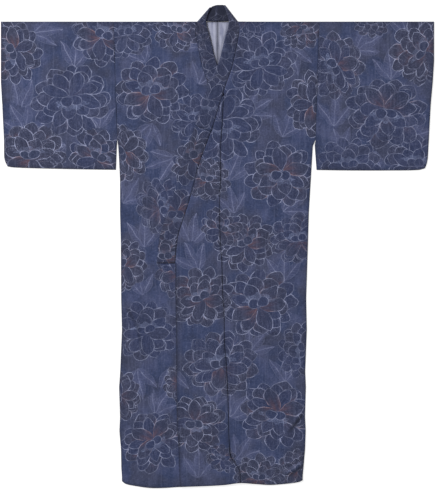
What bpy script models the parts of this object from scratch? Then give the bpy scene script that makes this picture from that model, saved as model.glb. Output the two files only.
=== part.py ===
# Cotton yukata robe, laid out flat on its back with its left front lapped over its right.
# Lengths in the tables are millimetres: x runs to the viewer's right, "down" runs from the
# shoulder line towards the hem, and z is the height above the surface that the robe lies on.
# Eight pieces as they are cut and sewn: a body panel for each side, an overlap panel (okumi)
# for each side, two sleeves, the long collar band and the shorter over-collar around it.

import math

import bmesh
import bpy
import numpy as np

# Driving dimensions

MM = 0.001
WALL = 1.0                    # thickness of every cloth wall
SEAM_GAP = 0.3                # clear space between two pieces where they are sewn
LAY_GAP = 0.5                 # clear space between one laid layer and the next
SHOULDER_Y = 708.3            # the shoulder fold, measured from the middle of the whole outline
NECK_CORNER_X = 69.0          # where the collar seam meets the shoulder fold
SLEEVE_SEAM = 375.0           # length of the seam between a sleeve and the body, from the shoulder
CUFF_OPENING = 262.0          # open length of each cuff, from the fold at its top
BODY_COLUMNS = 12
SLEEVE_COLUMNS = 15
OKUMI_COLUMNS = 5
ROW_STEP = 25.0               # spacing of the rows of points down a panel
RULING_STEP = 21.0            # spacing of the sections along the collar
OVER_COLLAR_END = 348.0       # how far below the shoulder the over-collar's ends come
COLLAR_POINTS = 4             # points across the collar band
CELL = 4.0                    # cell of the height map that the layers are laid on
REACH_CELLS = 9               # the map's tallest point within this many cells carries a point
BLUR_CELLS = 2                # half width of each of the two smoothing passes

# The outline of the body panels at each side, viewer's right and viewer's left
# down, x of the right edge, x of the left edge
SIDE_EDGES = (
    (0.0, 321.0, -327.5),
    (375.0, 308.5, -315.0),
    (392.0, 300.5, -312.8),
    (440.0, 297.5, -309.8),
    (500.0, 294.0, -307.0),
    (600.0, 288.0, -307.0),
    (700.0, 285.0, -304.5),
    (875.0, 279.5, -303.5),
    (975.0, 281.5, -301.0),
    (1110.0, 276.5, -306.5),
    (1160.0, 278.5, -310.0),
    (1255.0, 276.0, -307.0),
    (1300.0, 278.0, -309.0),
    (1360.0, 276.0, -304.0),
    (1420.0, 271.0, -303.0),
    (1445.0, 268.5, -301.0),
)

# The hem across the whole width: x, down
HEM_LINE = (
    (-302.0, 1446.0),
    (-290.0, 1455.5),
    (-258.0, 1462.5),
    (-212.0, 1468.5),
    (-165.0, 1468.5),
    (-118.0, 1465.5),
    (-24.0, 1462.0),
    (24.0, 1459.0),
    (71.0, 1453.0),
    (118.0, 1456.0),
    (165.0, 1459.0),
    (212.0, 1456.0),
    (256.0, 1450.0),
    (269.0, 1444.0),
)

# The collar arm of the left front, from the neck to its blunt end, one ruling a row
# x of the sewn edge, down of it, x of the folded edge, down of it
COLLAR_ARM = (
    (69.3, 16.5, 29.9, -24.5),
    (68.0, 38.5, 35.9, 4.0),
    (59.9, 83.5, 22.0, 57.5),
    (48.2, 137.5, 6.3, 120.5),
    (36.2, 174.0, -9.5, 158.0),
    (25.2, 204.0, -25.2, 186.5),
    (4.7, 270.0, -44.1, 243.5),
    (-12.6, 326.5, -63.0, 303.0),
    (-33.0, 382.0, -85.0, 366.0),
    (-53.5, 437.0, -108.7, 426.0),
    (-70.9, 500.0, -126.0, 489.0),
    (-88.2, 563.0, -144.0, 560.0),
    (-108.7, 627.5, -165.4, 621.5),
    (-124.4, 681.0, -182.7, 675.0),
    (-132.9, 760.5, -192.2, 760.5),
)

# Where the band turns over at each side of the neck: the line of the turn, viewer's right and left
# x of the sewn end, down of it, x of the folded end, down of it
COLLAR_TURNS = {
    1: (58.5, -1.5, 20.6, -50.4),
    -1: (-57.3, -1.5, -20.8, -43.5),
}
BACK_TOP_X = 0.0
BACK_TOP_DOWN = -49.5
BACK_RULINGS = 3              # rulings between the middle of the back and each turn
TURN_STEPS = 4

# The seam between a front and its overlap panel: down, x on the left front, x on the hidden right front
OKUMI_SEAM = (
    (204.0, 25.2, 25.2),
    (242.0, 18.9, 18.9),
    (326.0, 14.0, 14.0),
    (392.0, 9.5, 9.5),
    (500.0, 9.5, 9.5),
    (550.0, 6.8, 6.8),
    (612.0, 6.6, 6.6),
    (690.0, 8.9, 8.9),
    (763.0, 13.8, 13.8),
    (876.0, 17.2, 17.2),
    (914.0, 20.5, 20.5),
    (1020.0, 22.4, 22.4),
    (1066.0, 26.8, 26.8),
    (1142.0, 31.0, 31.0),
    (1217.0, 33.8, 33.8),
    (1330.0, 36.8, 36.8),
    (1371.0, 41.0, 38.5),
    (1395.0, 55.0, 40.0),
    (1416.0, 68.0, 41.5),
    (1440.0, 72.0, 43.0),
    (1470.0, 73.5, 45.0),
)
OKUMI_TIP_DOWN = 228.0        # the overlap panel's pointed top starts at the first row below this

# The free front edge of the overlap panel, below the collar: down, x
OKUMI_FREE_EDGE = (
    (760.5, -132.9),
    (1005.0, -130.0),
    (1273.0, -127.5),
    (1320.0, -123.0),
    (1470.0, -118.0),
)

# Sleeves, seen from the front: down, x of the cuff edge on the viewer's right, on the viewer's left
CUFF_EDGES = (
    (0.0, 682.0, -682.0),
    (125.0, 682.0, -682.0),
    (190.0, 678.0, -682.0),
    (250.0, 672.5, -678.5),
    (310.0, 669.0, -675.7),
    (370.0, 666.0, -672.5),
    (435.0, 662.5, -672.0),
    (452.0, 659.5, -668.5),
    (470.0, 653.0, -660.0),
)
# down, x of the inner edge on the viewer's right, on the viewer's left
SLEEVE_INNER_EDGES = (
    (0.0, 321.3, -327.8),
    (375.0, 308.8, -315.3),
    (390.0, 306.0, -316.6),
    (470.0, 312.0, -319.7),
)
# x distance from the body seam as a share of the sleeve, down on the viewer's right, on the left
SLEEVE_BOTTOM = (
    (0.0, 467.5, 467.0),
    (0.3, 469.0, 465.5),
    (0.7, 469.0, 462.5),
    (0.94, 467.5, 459.5),
    (1.0, 462.0, 456.5),
)

# Soft ridges that lift the upper layers: x and down of one end, of the other, height, half width
RIDGES = (
    (-300.0, 870.0, -256.0, 955.0, 4.0, 26.0),
    (-256.0, 955.0, -228.0, 1090.0, 4.5, 28.0),
    (200.0, 1262.0, 262.0, 1335.0, 4.5, 26.0),
    (175.0, 1372.0, 262.0, 1424.0, 4.0, 26.0),
    (128.0, 975.0, 190.0, 1003.0, 3.0, 24.0),
    (36.0, 1355.0, 74.0, 1450.0, 5.0, 28.0),
    (-190.0, 1330.0, -205.0, 1462.0, 4.0, 34.0),
    (-30.0, 1210.0, -72.0, 1452.0, 3.5, 30.0),
    (218.0, 520.0, 262.0, 700.0, 3.0, 30.0),
    (-262.0, 470.0, -214.0, 640.0, 3.0, 30.0),
    (120.0, 90.0, 205.0, 330.0, 2.5, 38.0),
    (-150.0, 70.0, -225.0, 300.0, 2.5, 38.0),
    (380.0, 60.0, 560.0, 210.0, 2.5, 40.0),
    (430.0, 400.0, 610.0, 330.0, 2.5, 36.0),
    (-395.0, 90.0, -590.0, 220.0, 2.5, 40.0),
    (-440.0, 405.0, -600.0, 350.0, 2.5, 36.0),
)
SWELL_HEIGHT = 0.9            # the slow unevenness of cloth that isn't pressed flat
UNDER_SHARE = 0.35            # how much of this lift the covered front has

# Curves through the tables


def table_curve(rows, column, at):
    """Smooth reading of one column of a table whose first column is the position."""
    keys = [row[0] for row in rows]
    values = [row[column] for row in rows]
    slopes = []
    for index in range(len(keys)):
        before = max(index - 1, 0)
        after = min(index + 1, len(keys) - 1)
        slopes.append((values[after] - values[before]) / (keys[after] - keys[before]))
    at = min(max(at, keys[0]), keys[-1])
    place = 0
    while place < len(keys) - 2 and at > keys[place + 1]:
        place += 1
    span = keys[place + 1] - keys[place]
    share = (at - keys[place]) / span
    rest = 1.0 - share
    return (
        values[place] * (1.0 + 2.0 * share) * rest * rest
        + slopes[place] * span * share * rest * rest
        + values[place + 1] * (3.0 - 2.0 * share) * share * share
        - slopes[place + 1] * span * rest * share * share
    )


def table_line(rows, column, at):
    """Straight reading between the rows of a table."""
    return float(np.interp(at, [row[0] for row in rows], [row[column] for row in rows]))


def arm_rulings():
    """The collar arm's rulings at even steps, each (sewn x, sewn down, fold x, fold down)."""
    rows = np.array(COLLAR_ARM)
    middle = (rows[:, :2] + rows[:, 2:]) / 2.0
    run = np.concatenate([[0.0], np.cumsum(np.hypot(*np.diff(middle, axis=0).T))])
    keyed = [(along, *row) for along, row in zip(run, rows)]
    count = int(round(run[-1] / RULING_STEP))
    result = []
    for index in range(count + 1):
        at = run[-1] * index / count
        result.append(tuple(table_curve(keyed, column, at) for column in range(1, 5)))
    return result


ARM = arm_rulings()
COLLAR_END_DOWN = ARM[-1][1]


def hem_down(x):
    return table_curve(HEM_LINE, 1, x)


def collar_seam_x(down):
    """The sewn edge of the left collar arm."""
    downs = [0.0] + [ruling[1] for ruling in ARM]
    xs = [NECK_CORNER_X] + [ruling[0] for ruling in ARM]
    return float(np.interp(down, downs, xs))


def front_rows():
    """Rows of points down the fronts: (down, share of the way from the collar's end to the hem)."""
    rows = [(0.0, 0.0)]
    rows += [(ruling[1], 0.0) for ruling in ARM]
    nominal_hem = 1460.0
    count = int(round((nominal_hem - COLLAR_END_DOWN) / ROW_STEP))
    for index in range(1, count + 1):
        share = index / count
        rows.append((COLLAR_END_DOWN + share * (nominal_hem - COLLAR_END_DOWN), share))
    return rows


FRONT_ROWS = front_rows()


def row_down(row, x):
    """How far down a row lies at x: the lower rows follow the uneven hem by degrees."""
    down, share = row
    if share == 0.0:
        return down
    return COLLAR_END_DOWN + share * (hem_down(x) - COLLAR_END_DOWN)


# The height map that each layer is laid on

MAP_HALF_X = 720.0
MAP_HALF_Y = 800.0
MAP_COLUMNS = int(2.0 * MAP_HALF_X / CELL)
MAP_ROWS = int(2.0 * MAP_HALF_Y / CELL)


def new_map():
    return np.full((MAP_ROWS, MAP_COLUMNS), -LAY_GAP)


def spread(values, reach):
    """The tallest value within reach cells, along both directions."""
    for axis in (0, 1):
        tallest = values.copy()
        for step in range(1, reach + 1):
            for direction in (-step, step):
                tallest = np.maximum(tallest, np.roll(values, direction, axis=axis))
        values = tallest
    return values


def smooth(values, reach):
    for axis in (0, 1):
        total = values.copy()
        for step in range(1, reach + 1):
            total = total + np.roll(values, step, axis=axis) + np.roll(values, -step, axis=axis)
        values = total / (2 * reach + 1)
    return values


def resting_map(tops):
    """The height that a new layer's underside takes over what is already there."""
    wide = spread(tops, REACH_CELLS + 2 * BLUR_CELLS)
    return smooth(smooth(wide, BLUR_CELLS), BLUR_CELLS) + LAY_GAP


def read_map(values, x, y):
    column = (x + MAP_HALF_X) / CELL - 0.5
    row = (y + MAP_HALF_Y) / CELL - 0.5
    left = int(math.floor(column))
    low = int(math.floor(row))
    across = column - left
    up = row - low
    near = values[low, left] * (1 - across) + values[low, left + 1] * across
    far = values[low + 1, left] * (1 - across) + values[low + 1, left + 1] * across
    return float(near * (1 - up) + far * up)


def add_triangle(tops, a, b, c):
    """Raise the map to one triangle of a laid surface."""
    corners = np.array([a, b, c])
    low_x, low_y = corners[:, 0].min(), corners[:, 1].min()
    high_x, high_y = corners[:, 0].max(), corners[:, 1].max()
    first_column = int((low_x + MAP_HALF_X) / CELL)
    last_column = int((high_x + MAP_HALF_X) / CELL) + 1
    first_row = int((low_y + MAP_HALF_Y) / CELL)
    last_row = int((high_y + MAP_HALF_Y) / CELL) + 1
    xs = (np.arange(first_column, last_column) + 0.5) * CELL - MAP_HALF_X
    ys = (np.arange(first_row, last_row) + 0.5) * CELL - MAP_HALF_Y
    grid_x, grid_y = np.meshgrid(xs, ys)
    area = (b[0] - a[0]) * (c[1] - a[1]) - (c[0] - a[0]) * (b[1] - a[1])
    if abs(area) < 1e-6:
        return
    share_b = ((grid_x - a[0]) * (c[1] - a[1]) - (c[0] - a[0]) * (grid_y - a[1])) / area
    share_c = ((b[0] - a[0]) * (grid_y - a[1]) - (grid_x - a[0]) * (b[1] - a[1])) / area
    inside = (share_b >= -0.02) & (share_c >= -0.02) & (share_b + share_c <= 1.02)
    height = a[2] + share_b * (b[2] - a[2]) + share_c * (c[2] - a[2])
    window = tops[first_row:last_row, first_column:last_column]
    window[inside] = np.maximum(window[inside], height[inside])


def add_grid(tops, grid):
    for near, far in zip(grid[:-1], grid[1:]):
        for index in range(len(near) - 1):
            add_triangle(tops, near[index], near[index + 1], far[index + 1])
            add_triangle(tops, near[index], far[index + 1], far[index])


def lift(x, y):
    """The air under an upper layer at a point: a slow swell and the soft ridges."""
    down = SHOULDER_Y - y
    wave = math.sin(x / 61.0 + math.sin(down / 173.0) * 1.7) * math.sin(down / 88.0 + x / 210.0)
    total = SWELL_HEIGHT * (1.0 + wave) / 2.0
    for start_x, start_down, end_x, end_down, height, half_width in RIDGES:
        run_x = end_x - start_x
        run_down = end_down - start_down
        length = math.hypot(run_x, run_down)
        along = ((x - start_x) * run_x + (down - start_down) * run_down) / length
        aside = ((x - start_x) * run_down - (down - start_down) * run_x) / length
        past = max(-along, along - length, 0.0)
        distance = math.hypot(aside, past) / half_width
        if distance < 2.5:
            fade = math.sin(math.pi * min(max(along / length, 0.08), 0.92))
            total += height * (0.35 + 0.65 * fade) * math.exp(-distance * distance * 1.4)
    return total


# Solids

ROOT_MATERIALS = {
    "yukata_cloth": (0.056, 0.068, 0.115, 1.0),
}


def cloth_material(name):
    material = bpy.data.materials.new(name + "_cotton")
    material.use_nodes = True
    shader = material.node_tree.nodes["Principled BSDF"]
    shader.inputs["Base Color"].default_value = ROOT_MATERIALS["yukata_cloth"]
    shader.inputs["Roughness"].default_value = 0.85
    return material


class Solid:
    """Collects points and faces, then closes them as one body that faces out."""

    def __init__(self, name):
        self.name = name
        self.points = []
        self.faces = []

    def point(self, x, y, z):
        self.points.append((x * MM, y * MM, z * MM))
        return len(self.points) - 1

    def face(self, *corners):
        kept = []
        for corner in corners:
            if corner not in kept:
                kept.append(corner)
        if len(kept) > 2:
            self.faces.append(kept)

    def strip(self, first, second):
        for index in range(len(first) - 1):
            self.face(first[index], first[index + 1], second[index + 1], second[index])

    def build(self):
        mesh = bpy.data.meshes.new(self.name)
        mesh.from_pydata(self.points, [], self.faces)
        body = bmesh.new()
        body.from_mesh(mesh)
        bmesh.ops.recalc_face_normals(body, faces=body.faces)
        if body.calc_volume(signed=True) < 0.0:
            bmesh.ops.reverse_faces(body, faces=body.faces)
        bmesh.ops.dissolve_limit(
            body, angle_limit=math.radians(0.01), verts=body.verts, edges=body.edges,
        )
        bmesh.ops.triangulate(body, faces=body.faces)
        body.to_mesh(mesh)
        body.free()
        mesh.update()
        item = bpy.data.objects.new(self.name, mesh)
        mesh.materials.append(cloth_material(self.name))
        bpy.context.scene.collection.objects.link(item)
        return item


def sheet_solid(name, grid):
    """A single cloth wall: grid holds rows of (x, y, height of the underside)."""
    solid = Solid(name)
    under = [[solid.point(x, y, z) for x, y, z in row] for row in grid]
    over = [[solid.point(x, y, z + WALL) for x, y, z in row] for row in grid]
    for rows in (under, over):
        for near, far in zip(rows[:-1], rows[1:]):
            solid.strip(near, far)
    solid.strip(under[0], over[0])
    solid.strip(under[-1], over[-1])
    solid.strip([row[0] for row in under], [row[0] for row in over])
    solid.strip([row[-1] for row in under], [row[-1] for row in over])
    return solid.build()


def folded_solid(name, back, front, closed_first, closed_last, closed_near, closed_far):
    """A cloth folded over itself: a back wall on the surface and a front wall over it.

    back holds rows of (x, y), front holds rows of (x, y, height of its underside), and the two
    agree along their closed edges. closed_first and closed_last say whether the first and last
    rows are folds or seams. closed_near and closed_far give the first row from which the edge at
    the first column and at the last column is sewn shut, or None.
    """
    rows = len(front)
    columns = len(front[0])
    solid = Solid(name)

    def is_closed(row, column):
        if row == 0 and closed_first:
            return True
        if row == rows - 1 and closed_last:
            return True
        if column == 0 and closed_near is not None and row >= closed_near:
            return True
        return column == columns - 1 and closed_far is not None and row >= closed_far

    def inner_place(grid, row, column):
        """The point itself, or on a closed edge the point moved in by one wall."""
        x, y = grid[row][column][0], grid[row][column][1]
        if not is_closed(row, column):
            return x, y
        if column == 0 and closed_near is not None and row >= closed_near:
            x += math.copysign(WALL, grid[row][1][0] - x)
        if column == columns - 1 and closed_far is not None and row >= closed_far:
            x += math.copysign(WALL, grid[row][column - 1][0] - x)
        if row == 0 and closed_first:
            y -= WALL
        if row == rows - 1 and closed_last:
            y += WALL
        return x, y

    span = range(columns)
    outer_back = [[solid.point(back[j][i][0], back[j][i][1], 0.0) for i in span] for j in range(rows)]
    inner_back = [[solid.point(*inner_place(back, j, i), WALL) for i in span] for j in range(rows)]
    inner_front = [
        [solid.point(*inner_place(front, j, i), front[j][i][2]) for i in span] for j in range(rows)
    ]
    outer_front = [
        [solid.point(front[j][i][0], front[j][i][1], front[j][i][2] + WALL) for i in span]
        for j in range(rows)
    ]
    layers = (outer_back, inner_back, inner_front, outer_front)
    for layer in layers:
        for near, far in zip(layer[:-1], layer[1:]):
            solid.strip(near, far)

    def close(line, shut):
        """Finish one edge of the grid: line lists its (row, column), shut says which are sewn."""
        edge = [[layer[j][i] for j, i in line] for layer in layers]
        for index in range(len(line) - 1):
            pair = slice(index, index + 2)
            if shut[index] and shut[index + 1]:
                solid.strip(edge[0][pair], edge[3][pair])
                solid.strip(edge[1][pair], edge[2][pair])
            else:
                solid.strip(edge[0][pair], edge[1][pair])
                solid.strip(edge[2][pair], edge[3][pair])

    def end_face(row, column):
        solid.face(*(layer[row][column] for layer in layers))

    near_line = [(j, 0) for j in range(rows)]
    far_line = [(j, columns - 1) for j in range(rows)]
    near_shut = [closed_near is not None and j >= closed_near for j in range(rows)]
    far_shut = [closed_far is not None and j >= closed_far for j in range(rows)]
    close([(0, i) for i in span], [closed_first] * columns)
    close([(rows - 1, i) for i in span], [closed_last] * columns)
    close(near_line, near_shut)
    close(far_line, far_shut)
    for column, first_shut in ((0, closed_near), (columns - 1, closed_far)):
        if closed_first and first_shut != 0:
            end_face(0, column)
        if first_shut is not None and first_shut > 0:
            end_face(first_shut, column)
        if closed_last != (first_shut is not None):
            end_face(rows - 1, column)
    return solid.build()


# The body panels: each is one length of cloth, folded over the shoulder, sewn down its side


def body_front(side, rests, share):
    """Rows of a front from its side edge to its inner edge, laid on the map."""
    column = 1 if side > 0 else 2
    rows = []
    for row in FRONT_ROWS:
        down = row[0]
        outer = table_line(SIDE_EDGES, column, down)
        if down < OKUMI_TIP_DOWN:
            inner = collar_seam_x(down) + SEAM_GAP
        else:
            inner = table_curve(OKUMI_SEAM, column, down) + SEAM_GAP / 2.0
        inner *= side
        line = []
        for index in range(BODY_COLUMNS + 1):
            x = outer + (inner - outer) * index / BODY_COLUMNS
            y = SHOULDER_Y - row_down(row, x)
            z = read_map(rests, x, y) + share * lift(x, y)
            line.append((x, y, z))
        rows.append(line)
    return rows


def body_back(side, front):
    """The back of the same cloth: from the side edge to the seam down the middle of the back."""
    middle = side * SEAM_GAP / 2.0
    rows = []
    for number, row in enumerate(FRONT_ROWS):
        if number == 0:
            rows.append([(x, y) for x, y, z in front[0]])
            continue
        outer = front[number][0][0]
        line = []
        for index in range(BODY_COLUMNS + 1):
            x = outer + (middle - outer) * index / BODY_COLUMNS
            line.append((x, SHOULDER_Y - row_down(row, x)))
        line[0] = front[number][0][:2]
        if number == 1:
            line[-1] = (middle, SHOULDER_Y)
        rows.append(line)
    return rows


def side_seam_row():
    for number, row in enumerate(FRONT_ROWS):
        if row[0] > SLEEVE_SEAM:
            return number
    return None


# The overlap panels


def okumi_grid(side, rests, share):
    column = 1 if side > 0 else 2
    rows = []
    for row in FRONT_ROWS:
        if row[0] < OKUMI_TIP_DOWN:
            continue
        down = row[0]
        seam = table_curve(OKUMI_SEAM, column, down) - SEAM_GAP / 2.0
        if down <= COLLAR_END_DOWN:
            edge = collar_seam_x(down) + SEAM_GAP
        else:
            edge = table_curve(OKUMI_FREE_EDGE, 1, down)
        line = []
        for index in range(OKUMI_COLUMNS + 1):
            x = side * (seam + (edge - seam) * index / OKUMI_COLUMNS)
            y = SHOULDER_Y - row_down(row, x)
            z = read_map(rests, x, y) + share * lift(x, y)
            line.append((x, y, z))
        rows.append(line)
    return rows


# The sleeves: one cloth folded along the top, sewn below and at both sides but for the openings


def sleeve_solid(side, rests):
    column = 1 if side > 0 else 2
    downs = list(np.linspace(0.0, CUFF_OPENING, 11))
    downs += list(np.linspace(CUFF_OPENING, SLEEVE_SEAM, 6))[1:]
    downs += list(np.linspace(SLEEVE_SEAM, 468.0, 6))[1:]
    front = []
    for number, down in enumerate(downs):
        inner = table_line(SLEEVE_INNER_EDGES, column, down)
        cuff = table_line(CUFF_EDGES, column, down)
        line = []
        for index in range(SLEEVE_COLUMNS + 1):
            share = index / SLEEVE_COLUMNS
            x = inner + (cuff - inner) * share
            bottom = table_curve(SLEEVE_BOTTOM, column, share)
            lower = max(0.0, (down - SLEEVE_SEAM) / (468.0 - SLEEVE_SEAM))
            y = SHOULDER_Y - (down + lower * (bottom - 468.0))
            line.append((x, y, read_map(rests, x, y) + lift(x, y)))
        front.append(line)
    back = [[(x, y) for x, y, z in line] for line in front]
    cuff_row = 10
    seam_row = 15
    name = "sleeve_left" if side > 0 else "sleeve_right"
    return folded_solid(name, back, front, True, True, seam_row, cuff_row), front


# The collar band and the over-collar: sections along one ribbon that turns over beside the neck

CORE_HALF = WALL / 2.0
SHEATH_INNER = CORE_HALF + SEAM_GAP
SHEATH_HALF = SHEATH_INNER + WALL
TURN_RADIUS = SHEATH_HALF + LAY_GAP / 2.0
BACK_MIDDLE = SHEATH_HALF


def core_lift(down):
    """The bare band sinks to the cloth below it past the end of the over-collar."""
    past = min(max((down - OVER_COLLAR_END) / 60.0, 0.0), 1.0)
    return (1.0 - past * past * (3.0 - 2.0 * past)) * (WALL + SEAM_GAP)


def arm_sections(side, rests, share):
    """Sections of one arm from the neck to its end: (points across, way that the outside faces)."""
    sections = []
    for sewn_x, sewn_down, fold_x, fold_down in ARM:
        points = []
        for index in range(COLLAR_POINTS):
            part = index / (COLLAR_POINTS - 1)
            x = side * (sewn_x + (fold_x - sewn_x) * part)
            y = SHOULDER_Y - (sewn_down + (fold_down - sewn_down) * part)
            z = read_map(rests, x, y) + share * lift(x, y) + core_lift(sewn_down) + CORE_HALF
            points.append(np.array((x, y, z)))
        sections.append((points, np.array((0.0, 0.0, 1.0))))
    return sections


def turn_sections(side):
    """The band turning over beside the neck, from the back's layer to the arm's layer."""
    sewn_x, sewn_down, fold_x, fold_down = COLLAR_TURNS[side]
    sewn = np.array((sewn_x, SHOULDER_Y - sewn_down, 0.0))
    fold = np.array((fold_x, SHOULDER_Y - fold_down, 0.0))
    along = (fold - sewn) / np.linalg.norm(fold - sewn)
    outward = np.array((along[1], -along[0], 0.0)) * side
    axis_height = BACK_MIDDLE + TURN_RADIUS
    sections = []
    for step in range(TURN_STEPS + 1):
        angle = math.pi * step / TURN_STEPS
        facing = np.array((0.0, 0.0, -math.cos(angle))) + outward * math.sin(angle)
        points = []
        for index in range(COLLAR_POINTS):
            part = index / (COLLAR_POINTS - 1)
            base = sewn + (fold - sewn) * part
            base[2] = axis_height
            points.append(base + facing * TURN_RADIUS)
        sections.append((points, facing))
    return sections


def back_sections(side):
    """The band behind the neck, from its middle towards one turn, not counting the turn."""
    turn_sewn_x, turn_sewn_down, turn_fold_x, turn_fold_down = COLLAR_TURNS[side]
    sections = []
    for number in range(BACK_RULINGS + 1):
        part = number / (BACK_RULINGS + 1)
        sewn = np.array((turn_sewn_x * part, SHOULDER_Y - turn_sewn_down * part + SEAM_GAP, 0.0))
        top_x = BACK_TOP_X + (turn_fold_x - BACK_TOP_X) * part
        top_down = BACK_TOP_DOWN + (turn_fold_down - BACK_TOP_DOWN) * part
        fold = np.array((top_x, SHOULDER_Y - top_down, 0.0))
        points = []
        for index in range(COLLAR_POINTS):
            across = index / (COLLAR_POINTS - 1)
            place = sewn + (fold - sewn) * across
            place[2] = BACK_MIDDLE
            points.append(place)
        sections.append((points, np.array((0.0, 0.0, -1.0))))
    return sections


def section_tops(sections, half):
    return [[(p[0], p[1], p[2] + half) for p in points] for points, facing in sections]


def across_step(points):
    """The unit step from the sewn edge to the folded edge of a section."""
    run = points[-1] - points[0]
    run = np.array((run[0], run[1], 0.0))
    return run / np.linalg.norm(run)


def collar_solid(sections):
    """The band itself, a doubled cloth as one wall, kept clear of the over-collar's fold."""
    solid = Solid("collar")
    inset = WALL + SEAM_GAP
    rings = []
    for points, facing in sections:
        step = across_step(points)
        width = np.linalg.norm(points[-1] - points[0])
        share = 1.0 - inset / width
        places = [points[0] + (p - points[0]) * share for p in points]
        outer = [solid.point(*(p + facing * CORE_HALF)) for p in places]
        edge = [solid.point(*(places[-1] + step * 0.2))]
        inner = [solid.point(*(p - facing * CORE_HALF)) for p in reversed(places)]
        rings.append(outer + edge + inner)
    for near, far in zip(rings[:-1], rings[1:]):
        solid.strip(near + near[:1], far + far[:1])
    for ring in (rings[0], rings[-1]):
        for index in range(COLLAR_POINTS - 1):
            solid.face(ring[index], ring[index + 1], ring[-index - 2], ring[-index - 1])
        solid.face(*ring[COLLAR_POINTS - 1:COLLAR_POINTS + 2])
    return solid.build()


def over_collar_solid(sections):
    """The sheath around the band: two walls joined at the folded edge, open at the sewn edge."""
    solid = Solid("over_collar")
    rings = []
    for points, facing in sections:
        step = across_step(points)
        width = np.linalg.norm(points[-1] - points[0])
        outer_share = 1.0 - 0.5 * WALL / width
        inner_share = 1.0 - WALL / width
        outer_places = [points[0] + (p - points[0]) * outer_share for p in points]
        inner_places = [points[0] + (p - points[0]) * inner_share for p in points]
        tip = outer_places[-1] + step * 0.5 * WALL
        ring = [solid.point(*(p + facing * SHEATH_HALF)) for p in outer_places]
        ring += [solid.point(*(tip + facing * SHEATH_INNER)), solid.point(*(tip - facing * SHEATH_INNER))]
        ring += [solid.point(*(p - facing * SHEATH_HALF)) for p in reversed(outer_places)]
        ring += [solid.point(*(p - facing * SHEATH_INNER)) for p in inner_places]
        ring += [solid.point(*(p + facing * SHEATH_INNER)) for p in reversed(inner_places)]
        rings.append(ring)
    for near, far in zip(rings[:-1], rings[1:]):
        solid.strip(near + near[:1], far + far[:1])
    count = COLLAR_POINTS
    last = len(rings[0]) - 1
    for ring in (rings[0], rings[-1]):
        for index in range(count - 1):
            solid.face(ring[index], ring[index + 1], ring[last - index - 1], ring[last - index])
        low = count + 2
        high = 2 * count + 2
        for index in range(count - 1):
            solid.face(
                ring[low + index], ring[low + index + 1],
                ring[high + count - 2 - index], ring[high + count - 1 - index],
            )
        solid.face(ring[count - 1], ring[count], ring[last - count + 1])
        solid.face(ring[count], ring[count + 1], ring[high + count - 1], ring[last - count + 1])
        solid.face(ring[count + 1], ring[low], ring[high + count - 1])
    return solid.build()


# Assembly: lay the layers in order, each on the heights of those below


def main():
    for item in list(bpy.data.objects):
        bpy.data.objects.remove(item)

    tops = new_map()
    ground = new_map()
    back_band = back_sections(1)
    back_band_other = back_sections(-1)
    for half_band, side in ((back_band, 1), (back_band_other, -1)):
        add_grid(tops, section_tops(half_band + turn_sections(side)[:1], SHEATH_HALF))
    flat_front = body_front(1, new_map(), 0.0)
    flat_front_other = body_front(-1, new_map(), 0.0)
    for side, flat in ((1, flat_front), (-1, flat_front_other)):
        backs = [[(x, y, WALL) for x, y in line] for line in body_back(side, flat)]
        add_grid(tops, backs)
    for edge in (-1, 1):
        add_triangle(ground, (edge * 250.0, 200.0, WALL), (edge * 719.0, 200.0, WALL), (edge * 719.0, 719.0, WALL))
        add_triangle(ground, (edge * 250.0, 200.0, WALL), (edge * 719.0, 719.0, WALL), (edge * 250.0, 719.0, WALL))

    first_rests = resting_map(np.maximum(tops, ground))
    seam_row = side_seam_row()

    under_front = body_front(-1, first_rests, UNDER_SHARE)
    under_okumi = okumi_grid(-1, first_rests, UNDER_SHARE)
    under_arm = arm_sections(-1, first_rests, UNDER_SHARE)
    uncovered = body_front(-1, first_rests, 1.0)
    blend = []
    for low_row, high_row in zip(under_front, uncovered):
        line = []
        for low, high in zip(low_row, high_row):
            share = min(max((-150.0 - low[0]) / 60.0, 0.0), 1.0)
            line.append((low[0], low[1], low[2] + (high[2] - low[2]) * share))
        blend.append(line)
    under_front = blend

    for grid in (under_front, under_okumi):
        add_grid(tops, [[(x, y, z + WALL) for x, y, z in line] for line in grid])
    add_grid(tops, section_tops(turn_sections(-1)[-1:] + under_arm, SHEATH_HALF))

    second_rests = resting_map(np.maximum(tops, ground))
    over_front = body_front(1, second_rests, 1.0)
    over_okumi = okumi_grid(1, second_rests, 1.0)
    over_arm = arm_sections(1, second_rests, 0.5)

    folded_solid("body_right", body_back(-1, under_front), under_front, True, False, seam_row, None)
    folded_solid("body_left", body_back(1, over_front), over_front, True, False, seam_row, None)
    sheet_solid("okumi_right", under_okumi)
    sheet_solid("okumi_left", over_okumi)
    sleeve_solid(-1, first_rests)
    sleeve_solid(1, first_rests)

    ribbon = list(reversed(over_arm)) + list(reversed(turn_sections(1))) + list(reversed(back_band))
    ribbon += back_band_other[1:] + turn_sections(-1) + under_arm
    collar_solid(ribbon)
    covered = [section for section in over_arm if SHOULDER_Y - section[0][0][1] <= OVER_COLLAR_END]
    covered_count = len(covered)
    sheath = list(reversed(over_arm[:covered_count])) + list(reversed(turn_sections(1)))
    sheath += list(reversed(back_band)) + back_band_other[1:] + turn_sections(-1)
    sheath += under_arm[:covered_count]
    over_collar_solid(sheath)


main()
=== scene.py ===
# %% [markdown]
# A cotton yukata, laid out flat and dressed over its packed solids.
# A yukata is a light summer robe sewn from straight lengths of narrow cloth. Here it lies on its back
# with the left front lapped over the right one, seen from straight above. It could be simulated as
# cloth, but a robe laid out by hand keeps its edges where the hands put them, so each sewn piece is
# built as a thin shell that follows its solid. Lengths in the tables are millimetres: x runs to the
# viewer's right, and "down" runs from the shoulder fold to the hem.

import math

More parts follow.
